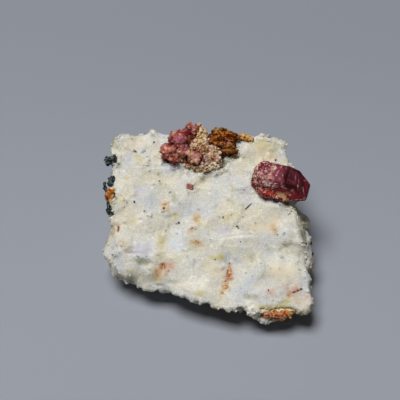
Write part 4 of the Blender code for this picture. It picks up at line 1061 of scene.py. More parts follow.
class SpeckFinish(Finish):
    """Loose dark minerals in the marble, graphite, amphibole and ruby, small and a little glossy."""

    def __init__(self) -> None:
        """Builds the tree."""
        super().__init__("dark_accessory_grains", "amphibole")
        own = self.carried("tint_and_light")
        self.shows(
            Base_Color=self.mix(own["Alpha"], linear(Speck.BLACK.value), own["Color"]),
            Roughness=self.sums("MULTIPLY_ADD", self.cloud(0.2), 0.3, 0.2),
            Normal=self.bump(self.sums("MULTIPLY", self.facets(0.2), 0.4)),
            IOR=1.65,
        )


class GrainShape(Enum):
    """Shapes of strewn grains."""

    RHOMB = "cleavage rhomb"
    CRUMB = "crumb"
    FLAKE = "six-sided flake"


# What a tree that strews grains is given, the carrier first
GIVEN = {"Geometry": "Geometry", "Lean": "Vector", "Seed": "Int", "Material": "Material"}
GIVEN |= dict.fromkeys(("Spacing", "Density", "Smallest", "Largest", "Jitter", "Sink"), "Float")


@dataclass(frozen=True)
class Scatter:
    """Small grains strewn over a surface by a tree of Geometry Nodes, measured in millimetres.

    Attributes:
        shape: what each grain looks like.
        spacing: least distance between two grains.
        density: grains on a square millimetre where the mask is 1.
        smallest: least width.
        largest: greatest width.
        seed: fixes the random draws.
        mask: the carrier's attribute that says where they are.
        lean: the direction that the grains' long axis follows.
        jitter: how far they stray from it. 1 with no lean is any direction.
        sink: how far their middles lie below the surface.
    """

    shape: GrainShape
    spacing: float
    density: float
    smallest: float
    largest: float
    seed: int
    mask: str = "everywhere"
    lean: Triple = (0.0, 0.0, 0.0)
    jitter: float = 1.0
    sink: float = 0.0

    def chance(self, net: Network, low: object, high: object, seed: object) -> Socket:
        """A random number for each grain, or from two tuples a random vector.

        Args:
            net: the tree that it is added to.
            low: the least value.
            high: the greatest value.
            seed: fixes the draws.
        Returns: the random value.
        """
        kind, first = ("FLOAT_VECTOR", 0) if isinstance(low, tuple) else ("FLOAT", 2)
        inputs = {first: low, first + 1: high, "Seed": seed}
        return net.add("FunctionNodeRandomValue", inputs, data_type=kind).outputs[first // 2]

    def grain(self, net: Network) -> Socket:
        """One grain about 1 mm wide.

        Args:
            net: the tree that it is added to.
        Returns: its mesh.
        """
        if self.shape is GrainShape.FLAKE:
            sizes = {"Vertices": 6, "Radius": 0.5, "Depth": 0.14}
            return net.add("GeometryNodeMeshCylinder", sizes).outputs["Mesh"]
        if self.shape is GrainShape.RHOMB:
            made = net.add("GeometryNodeMeshCube")
            corner = net.add("GeometryNodeInputPosition").outputs[0]
            at = net.add("ShaderNodeSeparateXYZ", {0: corner}).outputs
            slant = net.sums("MULTIPLY_ADD", at["Y"], 0.35, at["X"])
            slope = net.sums("MULTIPLY_ADD", at["Z"], 0.3, at["Y"])
            bent = net.add("ShaderNodeCombineXYZ", {0: slant, 1: slope, 2: at["Z"]})
            moved = {"Position": bent.outputs[0]}
        else:
            made = net.add("GeometryNodeMeshIcoSphere", {"Radius": 0.55, "Subdivisions": 1})
            moved = {"Offset": self.chance(net, (-0.16,) * 3, (0.16,) * 3, 5)}
        return net.add("GeometryNodeSetPosition", {"Geometry": made.outputs["Mesh"]} | moved).outputs[0]

    def tree(self) -> bpy.types.NodeTree:
        """Builds the node tree."""
        tree = bpy.data.node_groups.new("strewn_" + self.shape.name.lower(), "GeometryNodeTree")
        for name, kind in GIVEN.items():
            tree.interface.new_socket(name, in_out="INPUT", socket_type="NodeSocket" + kind)
        tree.interface.new_socket("Geometry", in_out="OUTPUT", socket_type="NodeSocketGeometry")
        net = Network(tree)
        given = net.add("NodeGroupInput").outputs
        seed = given["Seed"]
        mask = net.add("GeometryNodeInputNamedAttribute", {"Name": self.mask}, data_type="FLOAT")
        inputs = {
            "Mesh": given["Geometry"],
            "Distance Min": given["Spacing"],
            "Density Max": given["Density"],
            "Density Factor": mask.outputs["Attribute"],
            "Seed": seed,
        }
        kind = "GeometryNodeDistributePointsOnFaces"
        points = net.add(kind, inputs, distribute_method="POISSON").outputs
        # Each grain's long axis follows the lean with a stray, and it is spun round that axis
        stray = net.scaled(self.chance(net, (-1.0,) * 3, (1.0,) * 3, seed), given["Jitter"])
        aim = net.vectors("ADD", stray, given["Lean"])["Vector"]
        aimed = net.add("FunctionNodeAlignRotationToVector", {"Vector": aim}, axis="Z").outputs[0]
        angle = self.chance(net, 0.0, math.tau, seed)
        spin = net.add("FunctionNodeAxisAngleToRotation", {"Axis": (0, 0, 1), "Angle": angle}).outputs[0]
        inputs = {"Rotation": aimed, "Rotate By": spin}
        turned = net.add("FunctionNodeRotateRotation", inputs, rotation_space="LOCAL").outputs[0]
        width = self.chance(net, given["Smallest"], given["Largest"], seed)
        scale = net.scaled(self.chance(net, (0.75,) * 3, (1.25,) * 3, seed), width)
        inward = net.scaled(points["Normal"], net.sums("MULTIPLY", given["Sink"], -1.0))
        inputs = {"Geometry": points["Points"], "Offset": inward}
        sunk = net.add("GeometryNodeSetPosition", inputs).outputs[0]
        inputs = {"Points": sunk, "Instance": self.grain(net), "Rotation": turned, "Scale": scale}
        strewn = net.add("GeometryNodeInstanceOnPoints", inputs).outputs[0]
        inputs = {"Geometry": strewn, "Name": "tint", "Value": self.chance(net, 0.0, 1.0, 11)}
        kind = "GeometryNodeStoreNamedAttribute"
        tinted = net.add(kind, inputs, data_type="FLOAT", domain="INSTANCE").outputs[0]
        real = net.add("GeometryNodeRealizeInstances", {"Geometry": tinted}).outputs[0]
        inputs = {"Geometry": real, "Material": given["Material"]}
        dressed = net.add("GeometryNodeSetMaterial", inputs).outputs[0]
        net.add("NodeGroupOutput", {"Geometry": dressed})
        return tree

    def lay(self, name: str, carrier: Skin, finish: Finish) -> None:
        """Strews the grains over a carrier and sets them down as one piece.

        Args:
            name: the piece's name.
            carrier: what they lie on.
            finish: their surface.
        """
        working = loose_object("strewn", carrier.mesh.copy())
        modifier = working.modifiers.new("Strewn", "NODES")
        modifier.node_group = self.tree()
        for item in modifier.node_group.interface.items_tree:
            own = item.name.lower()
            if item.in_out == "INPUT" and own != "geometry":
                modifier[item.identifier] = finish.material if own == "material" else getattr(self, own)
        set_down(name, applied(working), finish)


@dataclass(frozen=True)
class Facets:
    """Cleavage faces of single calcite grains, each tilted its own way and some of them terraced.

    Attributes:
        size: usual width of a grain in millimetres.
        tilt: usual slope of a face.
        lift: how far a face stands proud or back.
        terrace: height of its steps.
        seed: fixes the random draws.
    """

    size: float
    tilt: float
    lift: float
    terrace: float
    seed: int

    def height(self, points: np.ndarray, wobble: float) -> np.ndarray:
        """How far the faces stand out.

        Args:
            points: places in millimetres.
            wobble: how far the faces' edges wobble.
        Returns: one height for each point.
        """
        low, high = points.min(axis=0) - self.size, points.max(axis=0) + self.size
        chance = np.random.default_rng(self.seed)
        count = int(np.prod(high - low) / self.size**3)
        middles = chance.uniform(low, high, (count, 3))
        tilts = chance.normal(0.0, self.tilt, (count, 3))
        lifts = chance.uniform(-self.lift, self.lift, count)
        ways = chance.normal(0.0, 1.0, (count, 3))
        ways /= np.linalg.norm(ways, axis=1)[:, None]
        widths = self.size * chance.uniform(0.15, 0.4, count)
        steps = self.terrace * np.maximum(chance.uniform(-1.0, 1.0, count), 0.0)
        grains = kdtree.KDTree(count)
        for index, middle in enumerate(middles):
            grains.insert(middle, index)
        grains.balance()
        sway = np.stack([rough(points, self.size, 2, shift) for shift in (3.1, 7.7, 11.3)], axis=1)
        nearest = np.array([grains.find(place)[1] for place in (points + sway * wobble).tolist()])
        offset = points - middles[nearest]
        rise = lifts[nearest] + (tilts[nearest] * offset).sum(axis=1)
        run = (ways[nearest] * offset).sum(axis=1) / widths[nearest]
        return rise + steps[nearest] * (run - np.floor(run) - 0.5)


@dataclass(frozen=True)
class Ledge:
    """A crisp edge where one cleavage sheet ends.

    Attributes:
        start: one end in plan.
        end: the other end. The high side is on the right going from start to end.
        rise: height of the edge.
        run: how far the raised sheet goes before it has sunk back.
    """

    start: tuple[float, float]
    end: tuple[float, float]
    rise: float
    run: float

    def height(self, points: np.ndarray, waver: np.ndarray) -> np.ndarray:
        """How far the sheet stands out.

        Args:
            points: places in millimetres.
            waver: how far its edge wavers at each of them.
        Returns: one height for each point.
        """
        right, ends = beside(points, self.start, self.end, 0.2)
        right += waver
        return self.rise * ends * smooth(right / 0.2 + 0.5) * smooth(1 - right / self.run)


@dataclass(frozen=True)
class Lumps:
    """Swellings of sugary grain, and hollows where the height is negative.

    Attributes:
        rows: x, y, z, half width and height of each.
    """

    rows: tuple[tuple[float, float, float, float, float], ...] = ()

    def near(self, points: np.ndarray, number: int) -> np.ndarray:
        """How far these points lie from the middle of one of them."""
        return np.linalg.norm(points - self.rows[number][:3], axis=1)

    def heights(self, points: np.ndarray) -> np.ndarray:
        """How far they stand out.

        Args:
            points: places in millimetres.
        Returns: one row for each of them, with one height for each point.
        """
        return np.array(
            [
                tall * smooth(1 - self.near(points, number) / width)
                for number, (*_, width, tall) in enumerate(self.rows)
            ]
        )


@dataclass(frozen=True)
class Turn:
    """The ridge where the face turns over into a lower flank.

    Attributes:
        start: one end in plan.
        end: the other end. The flank is on the left going from start to end.
        width: how far the flank goes until it has fallen.
        fall: how far it falls.
        low: height up to which nothing moves.
        high: height from which the whole fall counts.
    """

    start: tuple[float, float]
    end: tuple[float, float]
    width: float
    fall: float
    low: float
    high: float

    def drop(self, points: np.ndarray) -> np.ndarray:
        """How far the surface lies lower.

        Args:
            points: places in millimetres.
        Returns: one depth for each point.
        """
        right, ends = beside(points, self.start, self.end, 0.25)
        deep = smooth((points[:, 2] - self.low) / (self.high - self.low))
        return self.fall * smooth(-right / self.width) * ends * deep


@dataclass
class MarbleBlock:
    """The marble: its skin with broken relief, closed round the crystals, and its sugary crumbs.

    Attributes:
        voxel: fineness of its skin in millimetres.
        seat_reach: gap up to which the marble is drawn towards a crystal.
        seat_full: gap from which it closes up altogether.
        seat_sink: how far it then goes into the crystal.
        calm_foot: height at which the relief has its full strength above the flat underside.
        coarse: cleavage faces of large grains.
        medium: cleavage faces of small grains.
        ledges: edges of cleavage sheets.
        turn: the ridge to the right flank.
        swellings: large lumps on the rim and round the crystals.
        even: where there are no large grain faces.
        calmed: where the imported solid's own edges are evened out.
        lumps: small lumps on the front rim.
        crumbling: how many of them, from the first, are crumbly.
        grains: the crumbs.
        dark: dark grains in the sides, guessed from those in the face.
    """

    voxel: float = 0.225
    seat_reach: float = 0.75
    seat_full: float = 0.45
    seat_sink: float = 0.03
    calm_foot: float = 0.8
    coarse: Facets = Facets(3.0, 0.05, 0.03, 0.05, 21)
    medium: Facets = Facets(1.1, 0.09, 0.015, 0.02, 22)
    ledges: tuple[Ledge, ...] = (
        Ledge((-1.2, -3.4), (10.3, -2.5), 0.2, 4.0),
        Ledge((4.0, -5.3), (9.3, -4.6), 0.1, 3.0),
        Ledge((-16.9, -6.1), (-9.0, -8.0), 0.35, 4.0),
        Ledge((-1.6, 3.3), (-9.1, 1.2), 0.06, 3.0),
        Ledge((11.0, 3.9), (4.0, 6.3), 0.06, 3.0),
        Ledge((-6.1, -5.5), (0.0, -8.3), 0.12, 3.0),
        Ledge((-8.6, 9.9), (-15.0, 7.2), 0.08, 4.0),
    )
    turn: Turn = Turn((15.4, 6.5), (17.9, -10.5), 2.4, 1.5, 3.5, 9.5)
    swellings: Lumps = Lumps(
        (
            (19.2, -1, 6, 3.2, 0.7), (19.2, -5, 5, 3, 0.8), (19.8, 3, 7.2, 2.4, -1.3),
            (-17.9, 13.8, 15, 2.6, -0.4), (-16.2, 15.6, 15.8, 3.2, 1.1), (-12.7, 17.8, 16.2, 2.2, -0.5),
            (-10, 17.8, 16.3, 2.6, 0.8), (-7.6, 17.8, 16.4, 3, 0.5), (-8.6, 10.8, 14.4, 1.4, 0.4),
            (-6.9, 10, 14.2, 1.4, 0.5), (-5.3, 11, 14, 1.4, 0.5), (-3.4, 9.4, 13.9, 1.5, 0.4),
            (-1, 8.7, 13.7, 1.6, 0.4), (1.4, 8.9, 13.7, 1.5, 0.4), (8.6, 17.3, 15.9, 3.4, 0.5),
            (12, 17, 15.6, 4.2, 0.8), (15.4, 15, 14.8, 3.4, 0.6), (10.2, 3.3, 12.3, 1.5, 0.4),
            (12, 2.3, 12, 1.6, 0.8), (13.8, 2.3, 11.8, 1.6, 1.1), (15.4, 2, 11.5, 1.6, 0.5),
        )
    )
    even: Lumps = Lumps(
        (
            (15.6, -5.4, 10, 2.6, 0.85), (2.8, 2.6, 12, 3.2, 0.9),
        )
    )
    calmed: Lumps = Lumps(
        (
            (12.2, -4.7, 9.6, 4, 1.3), (8, -4.8, 9.9, 4, 1.2), (4.2, -4.5, 10, 2.6, 0.7),
            (2.8, 3.2, 12.1, 3.4, 1), (15.6, -5, 10, 2.6, 0.9),
        )
    )
    lumps: Lumps = Lumps(
        (
            (-10.8, -9.4, 7, 2.2, 0.5), (7.6, -16.5, 5.5, 2.2, 0.3), (8.6, -17, 4.6, 1.7, 0.7),
            (10.3, -17.6, 3.2, 1.5, 0.2), (12.6, -17.5, 2, 2.2, -0.3), (11.6, -15.9, 5.3, 1.3, 0.3),
            (-15, -8.8, 6.2, 2.6, 0.7), (-17, -7.6, 6.4, 2, 0.5), (-11.9, -8, 8.3, 1.5, -0.4),
            (8.3, -7.3, 8.5, 1.3, -0.18), (7.6, -14.6, 6.6, 1.4, -0.2),
        )
    )
    crumbling: int = 6
    grains: Scatter = Scatter(GrainShape.RHOMB, 0.28, 9.0, 0.16, 0.46, 31, "crumbly", sink=0.1)
    dark: Scatter = Scatter(GrainShape.CRUMB, 1.1, 0.045, 0.2, 0.65, 33, "strewable")

    def relief(self, skin: Skin, facing: np.ndarray, inner: np.ndarray, sugary: np.ndarray) -> np.ndarray:
        """How far the broken surface stands out.

        Args:
            skin: the even block.
            facing: 1 on the face, 0 on the sides.
            inner: 1 inside the face, 0 at its rim and beyond.
            sugary: 1 where the grain is fine.
        Returns: one height for each vertex.
        """
        points = skin.points
        even = 1 - self.even.heights(points).max(axis=0)
        out = self.coarse.height(points, 0.5) * (1 + 1.5 * (1 - facing)) * even
        out += self.medium.height(points, 0.2) * (0.3 + 0.8 * sugary * (1 - 0.6 * inner))
        # The faces' edges are crisper on the sides
        out = skin.softened(out, 3) * facing + skin.softened(out, 1) * (1 - facing)
        out += rough(points, 0.8, 3, 2.2) * (0.012 + 0.04 * sugary * (1 - 0.7 * inner))
        waver = rough(points, 1.0, 2, 4.4) * 0.25
        for ledge in self.ledges:
            out += ledge.height(points, waver) * facing
        return out + self.lumps.heights(points).sum(axis=0)

    def seat(self, skin: Skin, trees: list[BVHTree]) -> None:
        """Closes the marble up to the crystals that grew in it.

        Args:
            skin: the block.
            trees: the crystals' surfaces.
        """
        points, normals = skin.points, skin.normals
        for number, place in enumerate(points.tolist()):
            for tree in trees:
                near, _, _, gap = tree.find_nearest(place, self.seat_reach)
                if near is None:
                    continue
                step = near - Vector(place)
                # Marble beside or behind a crystal stays where it is
                if step.dot(normals[number]) < 0.3 * gap:
                    continue
                share = min((self.seat_reach - gap) / (self.seat_reach - self.seat_full), 1.0)
                points[number] += step * share * (1 + self.seat_sink / max(gap, 0.05))
                break
        skin.points = points

    def build(self, trees: list[BVHTree], marble: Finish, sugar: Finish, specks: Finish) -> BVHTree:
        """Makes the block, its crumbs and the dark grains in its sides.

        Args:
            trees: the surfaces of the crystals that grew in it.
            marble: the block's finish.
            sugar: the crumbs' finish.
            specks: the dark grains' finish.
        Returns: its surface.
        """
        skin = remeshed("marble_matrix", self.voxel)
        # The solid's steps are rounded off, then its rim is given its large forms
        skin.rounded(10)
        points = skin.points
        points[:, 2] -= self.turn.drop(points)
        skin.points = points
        skin.push(self.swellings.heights(points).sum(axis=0))
        # The more rounds a direction is evened out, the wider the part of the surface that it stands for
        facing = smooth((skin.softened(skin.normals, 16) @ FACE_NORMAL - 0.35) / 0.3)
        inner = smooth((skin.softened(skin.normals, 40) @ FACE_NORMAL - 0.82) / 0.1)
        skin.ease(60, 0.8 * inner)
        skin.ease(160, np.minimum(self.calmed.heights(skin.points).max(axis=0), 0.92))
        # Fine relief, which fades out at the underside
        points = skin.points
        calm = smooth(points[:, 2] / self.calm_foot)
        sugary = smooth((rough(points, 3.5, 3, 9.1) + 0.15 + (1 - facing) * 0.5) / 0.5)
        skin.push(self.relief(skin, facing, inner, sugary) * calm)
        # Sharp edges crumble
        edges = skin.softened(smooth(skin.sharpness(8) / 0.12), 3)
        skin.push(edges * rough(skin.points, 0.8, 3, 6.6) * 0.2 * calm)
        points = skin.points
        points[:, 2] = np.maximum(points[:, 2], 0.0)
        skin.points = points
        self.seat(skin, trees)
        # Crumbs lie on crumbling edges, but not where the block touches the floor
        points = skin.points
        off_floor = smooth((points[:, 2] - 1.0) / 0.6)
        crumbly = np.clip(0.04 * sugary * sugary * (1 - inner) + 0.8 * edges, 0, 1) * off_floor
        for number in range(self.crumbling):
            crumbly = np.maximum(crumbly, smooth(1.6 - self.lumps.near(points, number)) * 0.8)
        skin.mark("sides", 1 - facing)
        skin.mark("crumbly", crumbly)
        skin.mark("strewable", (1 - facing) * off_floor)
        FACE_BRUSH.lay(skin, FACE_MARKS)
        surface = skin.tree()
        self.dark.lay("side_specks", skin, specks)
        self.grains.lay("marble_crumbs", skin, sugar)
        set_down("marble_block", skin.mesh, marble, "marble_matrix")
        return surface


@dataclass
class Specks:
    """The single dark grains and splinters in the face.

    Attributes:
        shrink: width of a grain against that of its spot in the photo, which its shadow widens.
    """

    shrink: float = 0.68

    def grain(
        self, shape: bmesh.types.BMesh, place: Vector, wide: Vector, turn: Matrix, kind: Speck
    ) -> None:
        """Adds one faceted grain.

        Args:
            shape: what it is added to.
            place: its middle.
            wide: its width along each of its own axes.
            turn: how it lies.
            kind: what it is made of.
        """
        tints = shape.verts.layers.float_color["tint_and_light"]
        matrix = Matrix.Translation(place) @ turn @ Matrix.Diagonal((*wide, 1.0))
        for vertex in bmesh.ops.create_icosphere(shape, subdivisions=2, radius=0.5, matrix=matrix)["verts"]:
            vertex.co += noise.noise_vector(vertex.co * 5.0) * min(wide) * 0.4
            vertex[tints] = linear(kind.value)

    def build(self, surface: BVHTree, finish: Finish) -> None:
        """Makes all of them as one piece.

        Args:
            surface: the marble's surface in millimetres.
            finish: their finish.
        """
        shape = bmesh.new()
        shape.verts.layers.float_color.new("tint_and_light")
        for number, (x, y, z, width, kind) in enumerate(SPECKS):
            # Most of a grain's width shows above the marble
            place, normal, _, _ = surface.find_nearest((x, y, z))
            chance = np.random.default_rng(100 + number)
            wide = Vector(chance.uniform(0.75, 1.2, 3) * width * self.shrink)
            turn = Matrix.Rotation(chance.uniform(0, math.tau), 4, Vector(chance.normal(0, 1, 3)))
            self.grain(shape, place + normal * width * 0.1, wide, turn, kind)
        for start, end, width, kind in SPLINTERS:
            first, last = (surface.find_nearest(place)[0] for place in (start, end))
            along = last - first
            turn = along.to_track_quat("X", "Z").to_matrix().to_4x4()
            wide = Vector((along.length * 1.1, width, width * 0.8))
            self.grain(shape, (first + last) / 2 + Vector(FACE_NORMAL) * 0.06, wide, turn, kind)
        mesh = bpy.data.meshes.new("specks")
        shape.to_mesh(mesh)
        shape.free()
        set_down("face_specks", mesh, finish)


@dataclass
class LoneRuby:
    """The barrel-shaped ruby that lies in the face and reaches over the right edge.

    Attributes:
        node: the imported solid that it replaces.
        voxel: fineness of its skin in millimetres.
        middle: its middle.
        axis: the way it grew.
        lumps: swellings and a hollow on its edges.
    """

    node: str = "ruby_crystal"
    voxel: float = 0.085
    middle: Triple = (13.95, 6.343, 14.591)
    axis: Triple = (0.958, -0.275, -0.085)
    lumps: Lumps = Lumps(
        (
            (14.4, 2.6, 13.4, 1.5, 0.7), (13.2, 3, 13.9, 1, 0.2), (10.7, 8.2, 17.7, 1.1, 0.3),
            (16.2, 2.4, 13.4, 0.8, -0.2), (11, 4.1, 13, 2.4, 1), (15.8, 8, 16.6, 1.6, 0.25),
        )
    )

    def skin(self) -> Skin:
        """The crystal with its growth lines, chips and coated end."""
        skin = remeshed(self.node, self.voxel)
        skin.points = skin.softened(skin.points, 26)
        points, normals = skin.points, skin.normals
        axis = unit(self.axis)
        across = unit(np.cross(axis, FACE_NORMAL))
        up = np.cross(across, axis)
        offset = points - self.middle
        along, side, top = offset @ axis, offset @ across, offset @ up
        waver = rough(points, 2.0, 3, 1.7)
        # Growth lines run round the barrel, wide ones of 0.9 mm and fine ones of 0.3 mm
        barrel = smooth((0.75 - np.abs(normals @ axis)) / 0.3)
        wide = (along + waver * 0.5) / 0.9
        fine = (along + waver * 0.3) / 0.3
        lines = 0.02 * (wide - np.floor(wide) - 0.5) + 0.006 * (fine - np.floor(fine) - 0.5)
        # Pale grains coat the left end, and a rusty seam lies along the front
        coat = smooth((-0.9 - along + waver * 1.3) / 0.9)
        rust = smooth((side * 0.9 - top * 0.35 - 2.5 + waver * 0.6) / 0.5) * smooth((along + 2.6) / 0.8)
        rust *= smooth((2.9 - along) / 0.8)
        out = lines * barrel * (1 - coat) + waver * 0.1
        out += coat * (0.03 + rough(points, 0.45, 3, 8.2) * 0.16)
        out += rust * (0.04 + rough(points, 0.4, 3, 3.8) * 0.16)
        skin.push(out + self.lumps.heights(points).sum(axis=0))
        # The edges are chipped here and there
        edges = smooth(skin.sharpness(6) / 0.06)
        chips = smooth(rough(skin.points, 0.9, 2, 12.0) / 0.4)
        skin.push(-edges * chips * 0.16)
        skin.mark("coat", np.maximum(coat, rust))
        CRYSTAL_BRUSH.lay(skin, CRYSTAL_MARKS[self.node])
        return skin


@dataclass
class Lumpy:
    """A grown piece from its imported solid: an even skin with rounded or sharp small faces.

    Attributes:
        node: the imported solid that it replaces.
        voxel: fineness of its skin in millimetres.
        bud: width of its rounded buds.
        proud: how far they stand out.
        grit: height of its finest relief.
        shrink: how far its skin is drawn in, so that strewn grains don't make it larger.
        trims: hollows and swellings.
        seed: fixes the random draws.
    """

    node: str
    voxel: float
    bud: float
    proud: float
    grit: float
    shrink: float = 0.0
    trims: Lumps = Lumps()
    seed: int = 3

    def skin(self) -> Skin:
        """The piece's skin."""
        skin = remeshed(self.node, self.voxel)
        points = skin.points
        buds = Facets(self.bud, 0.45, self.proud, 0.0, self.seed).height(points, self.bud * 0.15)
        buds += self.trims.heights(points).sum(axis=0) - self.shrink
        skin.push(buds + rough(points, self.bud * 0.5, 3, self.seed) * self.grit)
        skin.mark("everywhere", np.ones(skin.count))
        CRYSTAL_BRUSH.lay(skin, CRYSTAL_MARKS.get(self.node, {}))
        return skin


MICA_AXIS = unit((0.06, 0.97, 0.24))


@dataclass
class MicaBook:
    """The brown mica mass: stacked sheets with ragged edges.

    Attributes:
        node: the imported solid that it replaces.
        voxel: fineness of its skin in millimetres.
        sheet: usual thickness of one sheet in the stack.
        ragged: how far single sheets stand out or back.
        trims: where the stack has broken away.
        seed: fixes the random draws.
    """

    node: str = "phlogopite_mass"
    voxel: float = 0.085
    sheet: float = 0.42
    ragged: float = 0.035
    trims: Lumps = Lumps(((6.0, 12.2, 15.4, 2.8, -1.3), (6.0, 13.0, 17.0, 1.6, -0.4)))
    seed: int = 41

    def skin(self) -> Skin:
        """The mass with its sheets."""
        skin = remeshed(self.node, self.voxel)
        skin.points = skin.softened(skin.points, 16)
        points, normals = skin.points, skin.normals
        # Each sheet stands out by its own amount, and its edge is jagged
        waver = rough(points, 2.0, 2, 4.0) * 0.25
        layer = (points @ MICA_AXIS + waver) / self.sheet
        number = np.floor(layer).astype(int)
        number -= number.min()
        chance = np.random.default_rng(self.seed)
        stands = chance.uniform(-1.0, 0.6, number.max() + 1)[number]
        outward = normals - (normals @ MICA_AXIS)[:, None] * MICA_AXIS
        jag = rough(points, 0.6, 3, 2.0) * 0.5
        move = outward * ((stands + jag) * self.ragged)[:, None]
        move += normals * self.trims.heights(points).sum(axis=0)[:, None]
        grit = rough(points, 0.5, 2, 6.0) * 0.07
        skin.points = points + skin.softened(move, 1) + normals * grit[:, None]
        skin.mark("everywhere", np.ones(skin.count))
        # Its lower part is granular
        skin.mark("granular", smooth((18.1 - points[:, 2] + waver) / 0.5))
        CRYSTAL_BRUSH.lay(skin, CRYSTAL_MARKS[self.node])
        return skin


@dataclass(frozen=True)
class Lamp:
    """A square soft light: its name, where it is, its width in metres and its power in watts."""

    name: str
    place: Triple
    size: float
    power: float


@dataclass
class Studio:
    """Camera at the photo's angle, soft light from above, pale grey floor, in metres.

    Attributes:
        eye: where the camera is.
        target: what the camera and the lamps look at.
        lens: the camera's focal length in millimetres.
        lamps: the lamps.
        sky: brightness of the light from all round.
        floor_half: half the floor's width.
        floor_grey: the floor's colour.
        floor_back_shade: its colour further back, darker: painted shade where the light falls off as the
            paper starts to rise.
    """

    eye: Triple = (-0.00145, -0.132546, 0.174652)
    target: Triple = (-0.00145, 0.003153, 0.012931)
    lens: float = 100.0
    lamps: tuple[Lamp, ...] = (
        Lamp("key_light", (-0.24, 0.06, 1.03), 0.5, 10.9),
        Lamp("fill_light", (0.1, -0.9, 0.6), 0.6, 0.1),
    )
    sky: float = 0.04
    floor_half: float = 1.5
    floor_grey: str = "#9A9EA7"
    floor_back_shade: str = "#8C9099"

    def aimed(self, name: str, data: bpy.types.ID, place: Triple) -> bpy.types.Object:
        """Links a camera or a lamp that looks at the specimen.

        Args:
            name: its name.
            data: the camera or the lamp.
            place: where it is.
        Returns: its object.
        """
        made = loose_object(name, data)
        made.location = place
        made.rotation_euler = (Vector(self.target) - Vector(place)).to_track_quat("-Z", "Y").to_euler()
        return made

    def build(self) -> None:
        """Sets up everything round the specimen."""
        scene = bpy.context.scene
        data = bpy.data.cameras.new("camera")
        data.lens = self.lens
        data.clip_start = 0.01
        scene.camera = self.aimed("camera", data, self.eye)
        for lamp in self.lamps:
            data = bpy.data.lights.new(lamp.name, "AREA")
            data.energy = lamp.power
            data.size = lamp.size
            self.aimed(lamp.name, data, lamp.place)
        scene.world = bpy.data.worlds.new("soft_sky")
        scene.world.use_nodes = True
        background = scene.world.node_tree.nodes["Background"]
        background.inputs["Color"].default_value = (1.0, 1.0, 1.0, 1.0)
        background.inputs["Strength"].default_value = self.sky
        scene.view_settings.view_transform = "Standard"
        half = self.floor_half
        mesh = bpy.data.meshes.new("floor")
        corners = [(x * half, y * half, 0.0) for x, y in ((-1, -1), (1, -1), (1, 1), (-1, 1))]
        mesh.from_pydata(corners, [], [(0, 1, 2, 3)])
        paper = Finish("matt_grey_paper")
        # The floor is darker towards the back: painted shade for the light that falls off there
        back = paper.add("ShaderNodeSeparateXYZ", {0: paper.place}).outputs["Y"]
        tone = paper.mix(paper.ramp(back, -30.0, 80.0), linear(self.floor_grey), linear(self.floor_back_shade))
        paper.shows(Base_Color=tone, Roughness=0.9)
        mesh.materials.append(paper.material)
        loose_object("floor", mesh)


# Hollows and swellings of the grown pieces
CLUSTER_TRIMS = Lumps(((-9.7, 11.4, 15.6, 1.9, -0.9), (-7.6, 10.4, 14.8, 1.8, -0.7)))
CRUST_TRIMS = Lumps(((3.5, 11.0, 14.6, 2.0, -1.2), (2.8, 9.6, 14.4, 1.4, -0.25)))
SEAM_TRIMS = Lumps(
    (
        (11.2, -17.6, 3.6, 1.6, 0.4),
        (13.4, -17.7, 3.6, 1.6, 0.4),
        (15.2, -17.0, 4.2, 1.2, 0.2),
        (13.0, -17.9, 2.2, 1.8, -0.35),
    )
)
# Grain colours of the crusts, by their share of the mixture
CRUST_SHADES = (
    *((0.05, "#A07850"), (0.25, "#BE9468"), (0.45, "#D8BC88")),
    *((0.62, "#E2B4A2"), (0.8, "#F4E4D2"), (0.95, "#B87866")),
)
COAT_SHADES = ((0.1, "#8A343C"), (0.35, "#B8706A"), (0.6, "#D8A090"), (0.85, "#F0D0C2"), (1.0, "#A85850"))
LIMONITE_SHADES = ((0.1, "#9A4A12"), (0.4, "#C86A1C"), (0.65, "#E09438"), (0.9, "#F2CA80"))
AMPHIBOLE_SHADES = ((0.1, "#0E1413"), (0.5, "#24302E"), (0.8, "#3E4C4A"), (0.95, "#6A7876"))


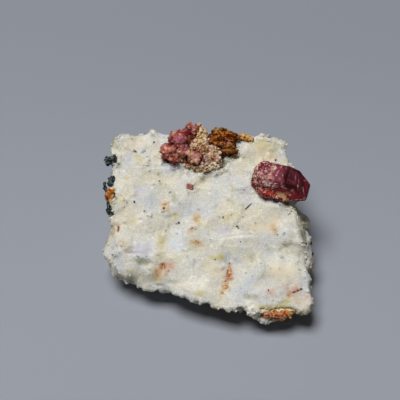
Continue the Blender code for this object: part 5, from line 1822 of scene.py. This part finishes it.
def main() -> None:
    """Builds the specimen and its studio."""
    logging.basicConfig(level=logging.INFO, format="%(message)s")
    Studio().build()
    ruby = RubyFinish("frosted_ruby", ("#4E0E18", "#6E1E2A", "#90343E"), 0.5)
    glossy = RubyFinish("glossy_ruby", ("#A85048", "#CC7E6C", "#EAB8A4"), 0.42)
    crust = GranularFinish("calcite_and_mica_crust", "mica_crust", CRUST_SHADES, 0.4, 0.3, "#F2DEC6", 0.7)
    coat = GranularFinish("calcite_and_ruby_crumbs", "mica_crust", COAT_SHADES, 0.3, 0.3, "#F8E0D6", 0.6)
    limonite = GranularFinish("limonite", "limonite", LIMONITE_SHADES, 0.35, 0.45, "#E8BC84", 0.25)
    amphibole = GranularFinish("amphibole", "amphibole", AMPHIBOLE_SHADES, 0.3, 0.2, "#8A9490", 0.3)
    specks = SpeckFinish()

    # Each grown piece's shape and finish
    grown = {
        "lone_ruby": (LoneRuby(), ruby),
        "stubby_rubies": (Lumpy("ruby_cluster", 0.09, 0.75, 0.055, 0.03, 0.12, CLUSTER_TRIMS), glossy),
        "small_ruby": (Lumpy("ruby_grain", 0.05, 0.4, 0.04, 0.03), glossy),
        "crust": (Lumpy("mica_crust", 0.12, 0.5, 0.1, 0.1, 0.25, CRUST_TRIMS), crust),
        "brown_mica": (MicaBook(), LayeredFinish(MICA_AXIS)),
        "orange_tail": (Lumpy("limonite_tail", 0.07, 0.35, 0.06, 0.06, -0.12), limonite),
        "orange_grain": (Lumpy("limonite_grain", 0.07, 0.35, 0.06, 0.06), limonite),
        "rusty_seam": (Lumpy("limonite_seam", 0.08, 0.35, 0.08, 0.08, -0.15, SEAM_TRIMS), limonite),
    }
    for name in ("upper", "middle", "needle", "lower"):
        grown["dark_" + name] = (Lumpy("amphibole_" + name, 0.05, 0.45, 0.05, 0.03), amphibole)
    skins = {name: shape.skin() for name, (shape, _) in grown.items()}

    marble = MarbleFinish("broken_calcite_marble", 0.8)
    sugar = MarbleFinish("sugary_calcite_crumbs", 0.0)
    trees = [skin.tree() for skin in skins.values()]
    surface = MarbleBlock().build(trees, marble, sugar, specks)
    Specks().build(surface, specks)

    # Each strewn piece's carrier and grains
    rhomb, crumb, flake = GrainShape
    strewn = {
        "ruby_buds": ("stubby_rubies", Scatter(rhomb, 0.24, 5.0, 0.14, 0.34, 51, sink=0.08)),
        "crust_grains": ("crust", Scatter(crumb, 0.36, 5.0, 0.3, 0.75, 52, sink=0.12)),
        "crust_crystals": ("crust", Scatter(rhomb, 0.4, 3.0, 0.22, 0.5, 56, sink=0.05)),
        "tail_grains": ("orange_tail", Scatter(crumb, 0.3, 6.0, 0.22, 0.48, 57, sink=0.1)),
        "mica_flakes": (
            "brown_mica",
            Scatter(flake, 0.3, 2.0, 0.3, 0.7, 53, lean=tuple(MICA_AXIS), jitter=0.4),
        ),
        "mica_crumbs": ("brown_mica", Scatter(crumb, 0.35, 3.0, 0.3, 0.6, 58, "granular", sink=0.1)),
        "seam_grains": ("rusty_seam", Scatter(crumb, 0.22, 9.0, 0.15, 0.36, 54, sink=0.06)),
        "coat_grains": ("lone_ruby", Scatter(crumb, 0.36, 5.0, 0.14, 0.42, 55, "coat", sink=0.04)),
    }
    for name, (carrier, scatter) in strewn.items():
        scatter.lay(name, skins[carrier], coat if name == "coat_grains" else grown[carrier][1])
    for name, (shape, finish) in grown.items():
        set_down(name, skins[name].mesh, finish, shape.node)


if __name__ == "__main__":
    main()
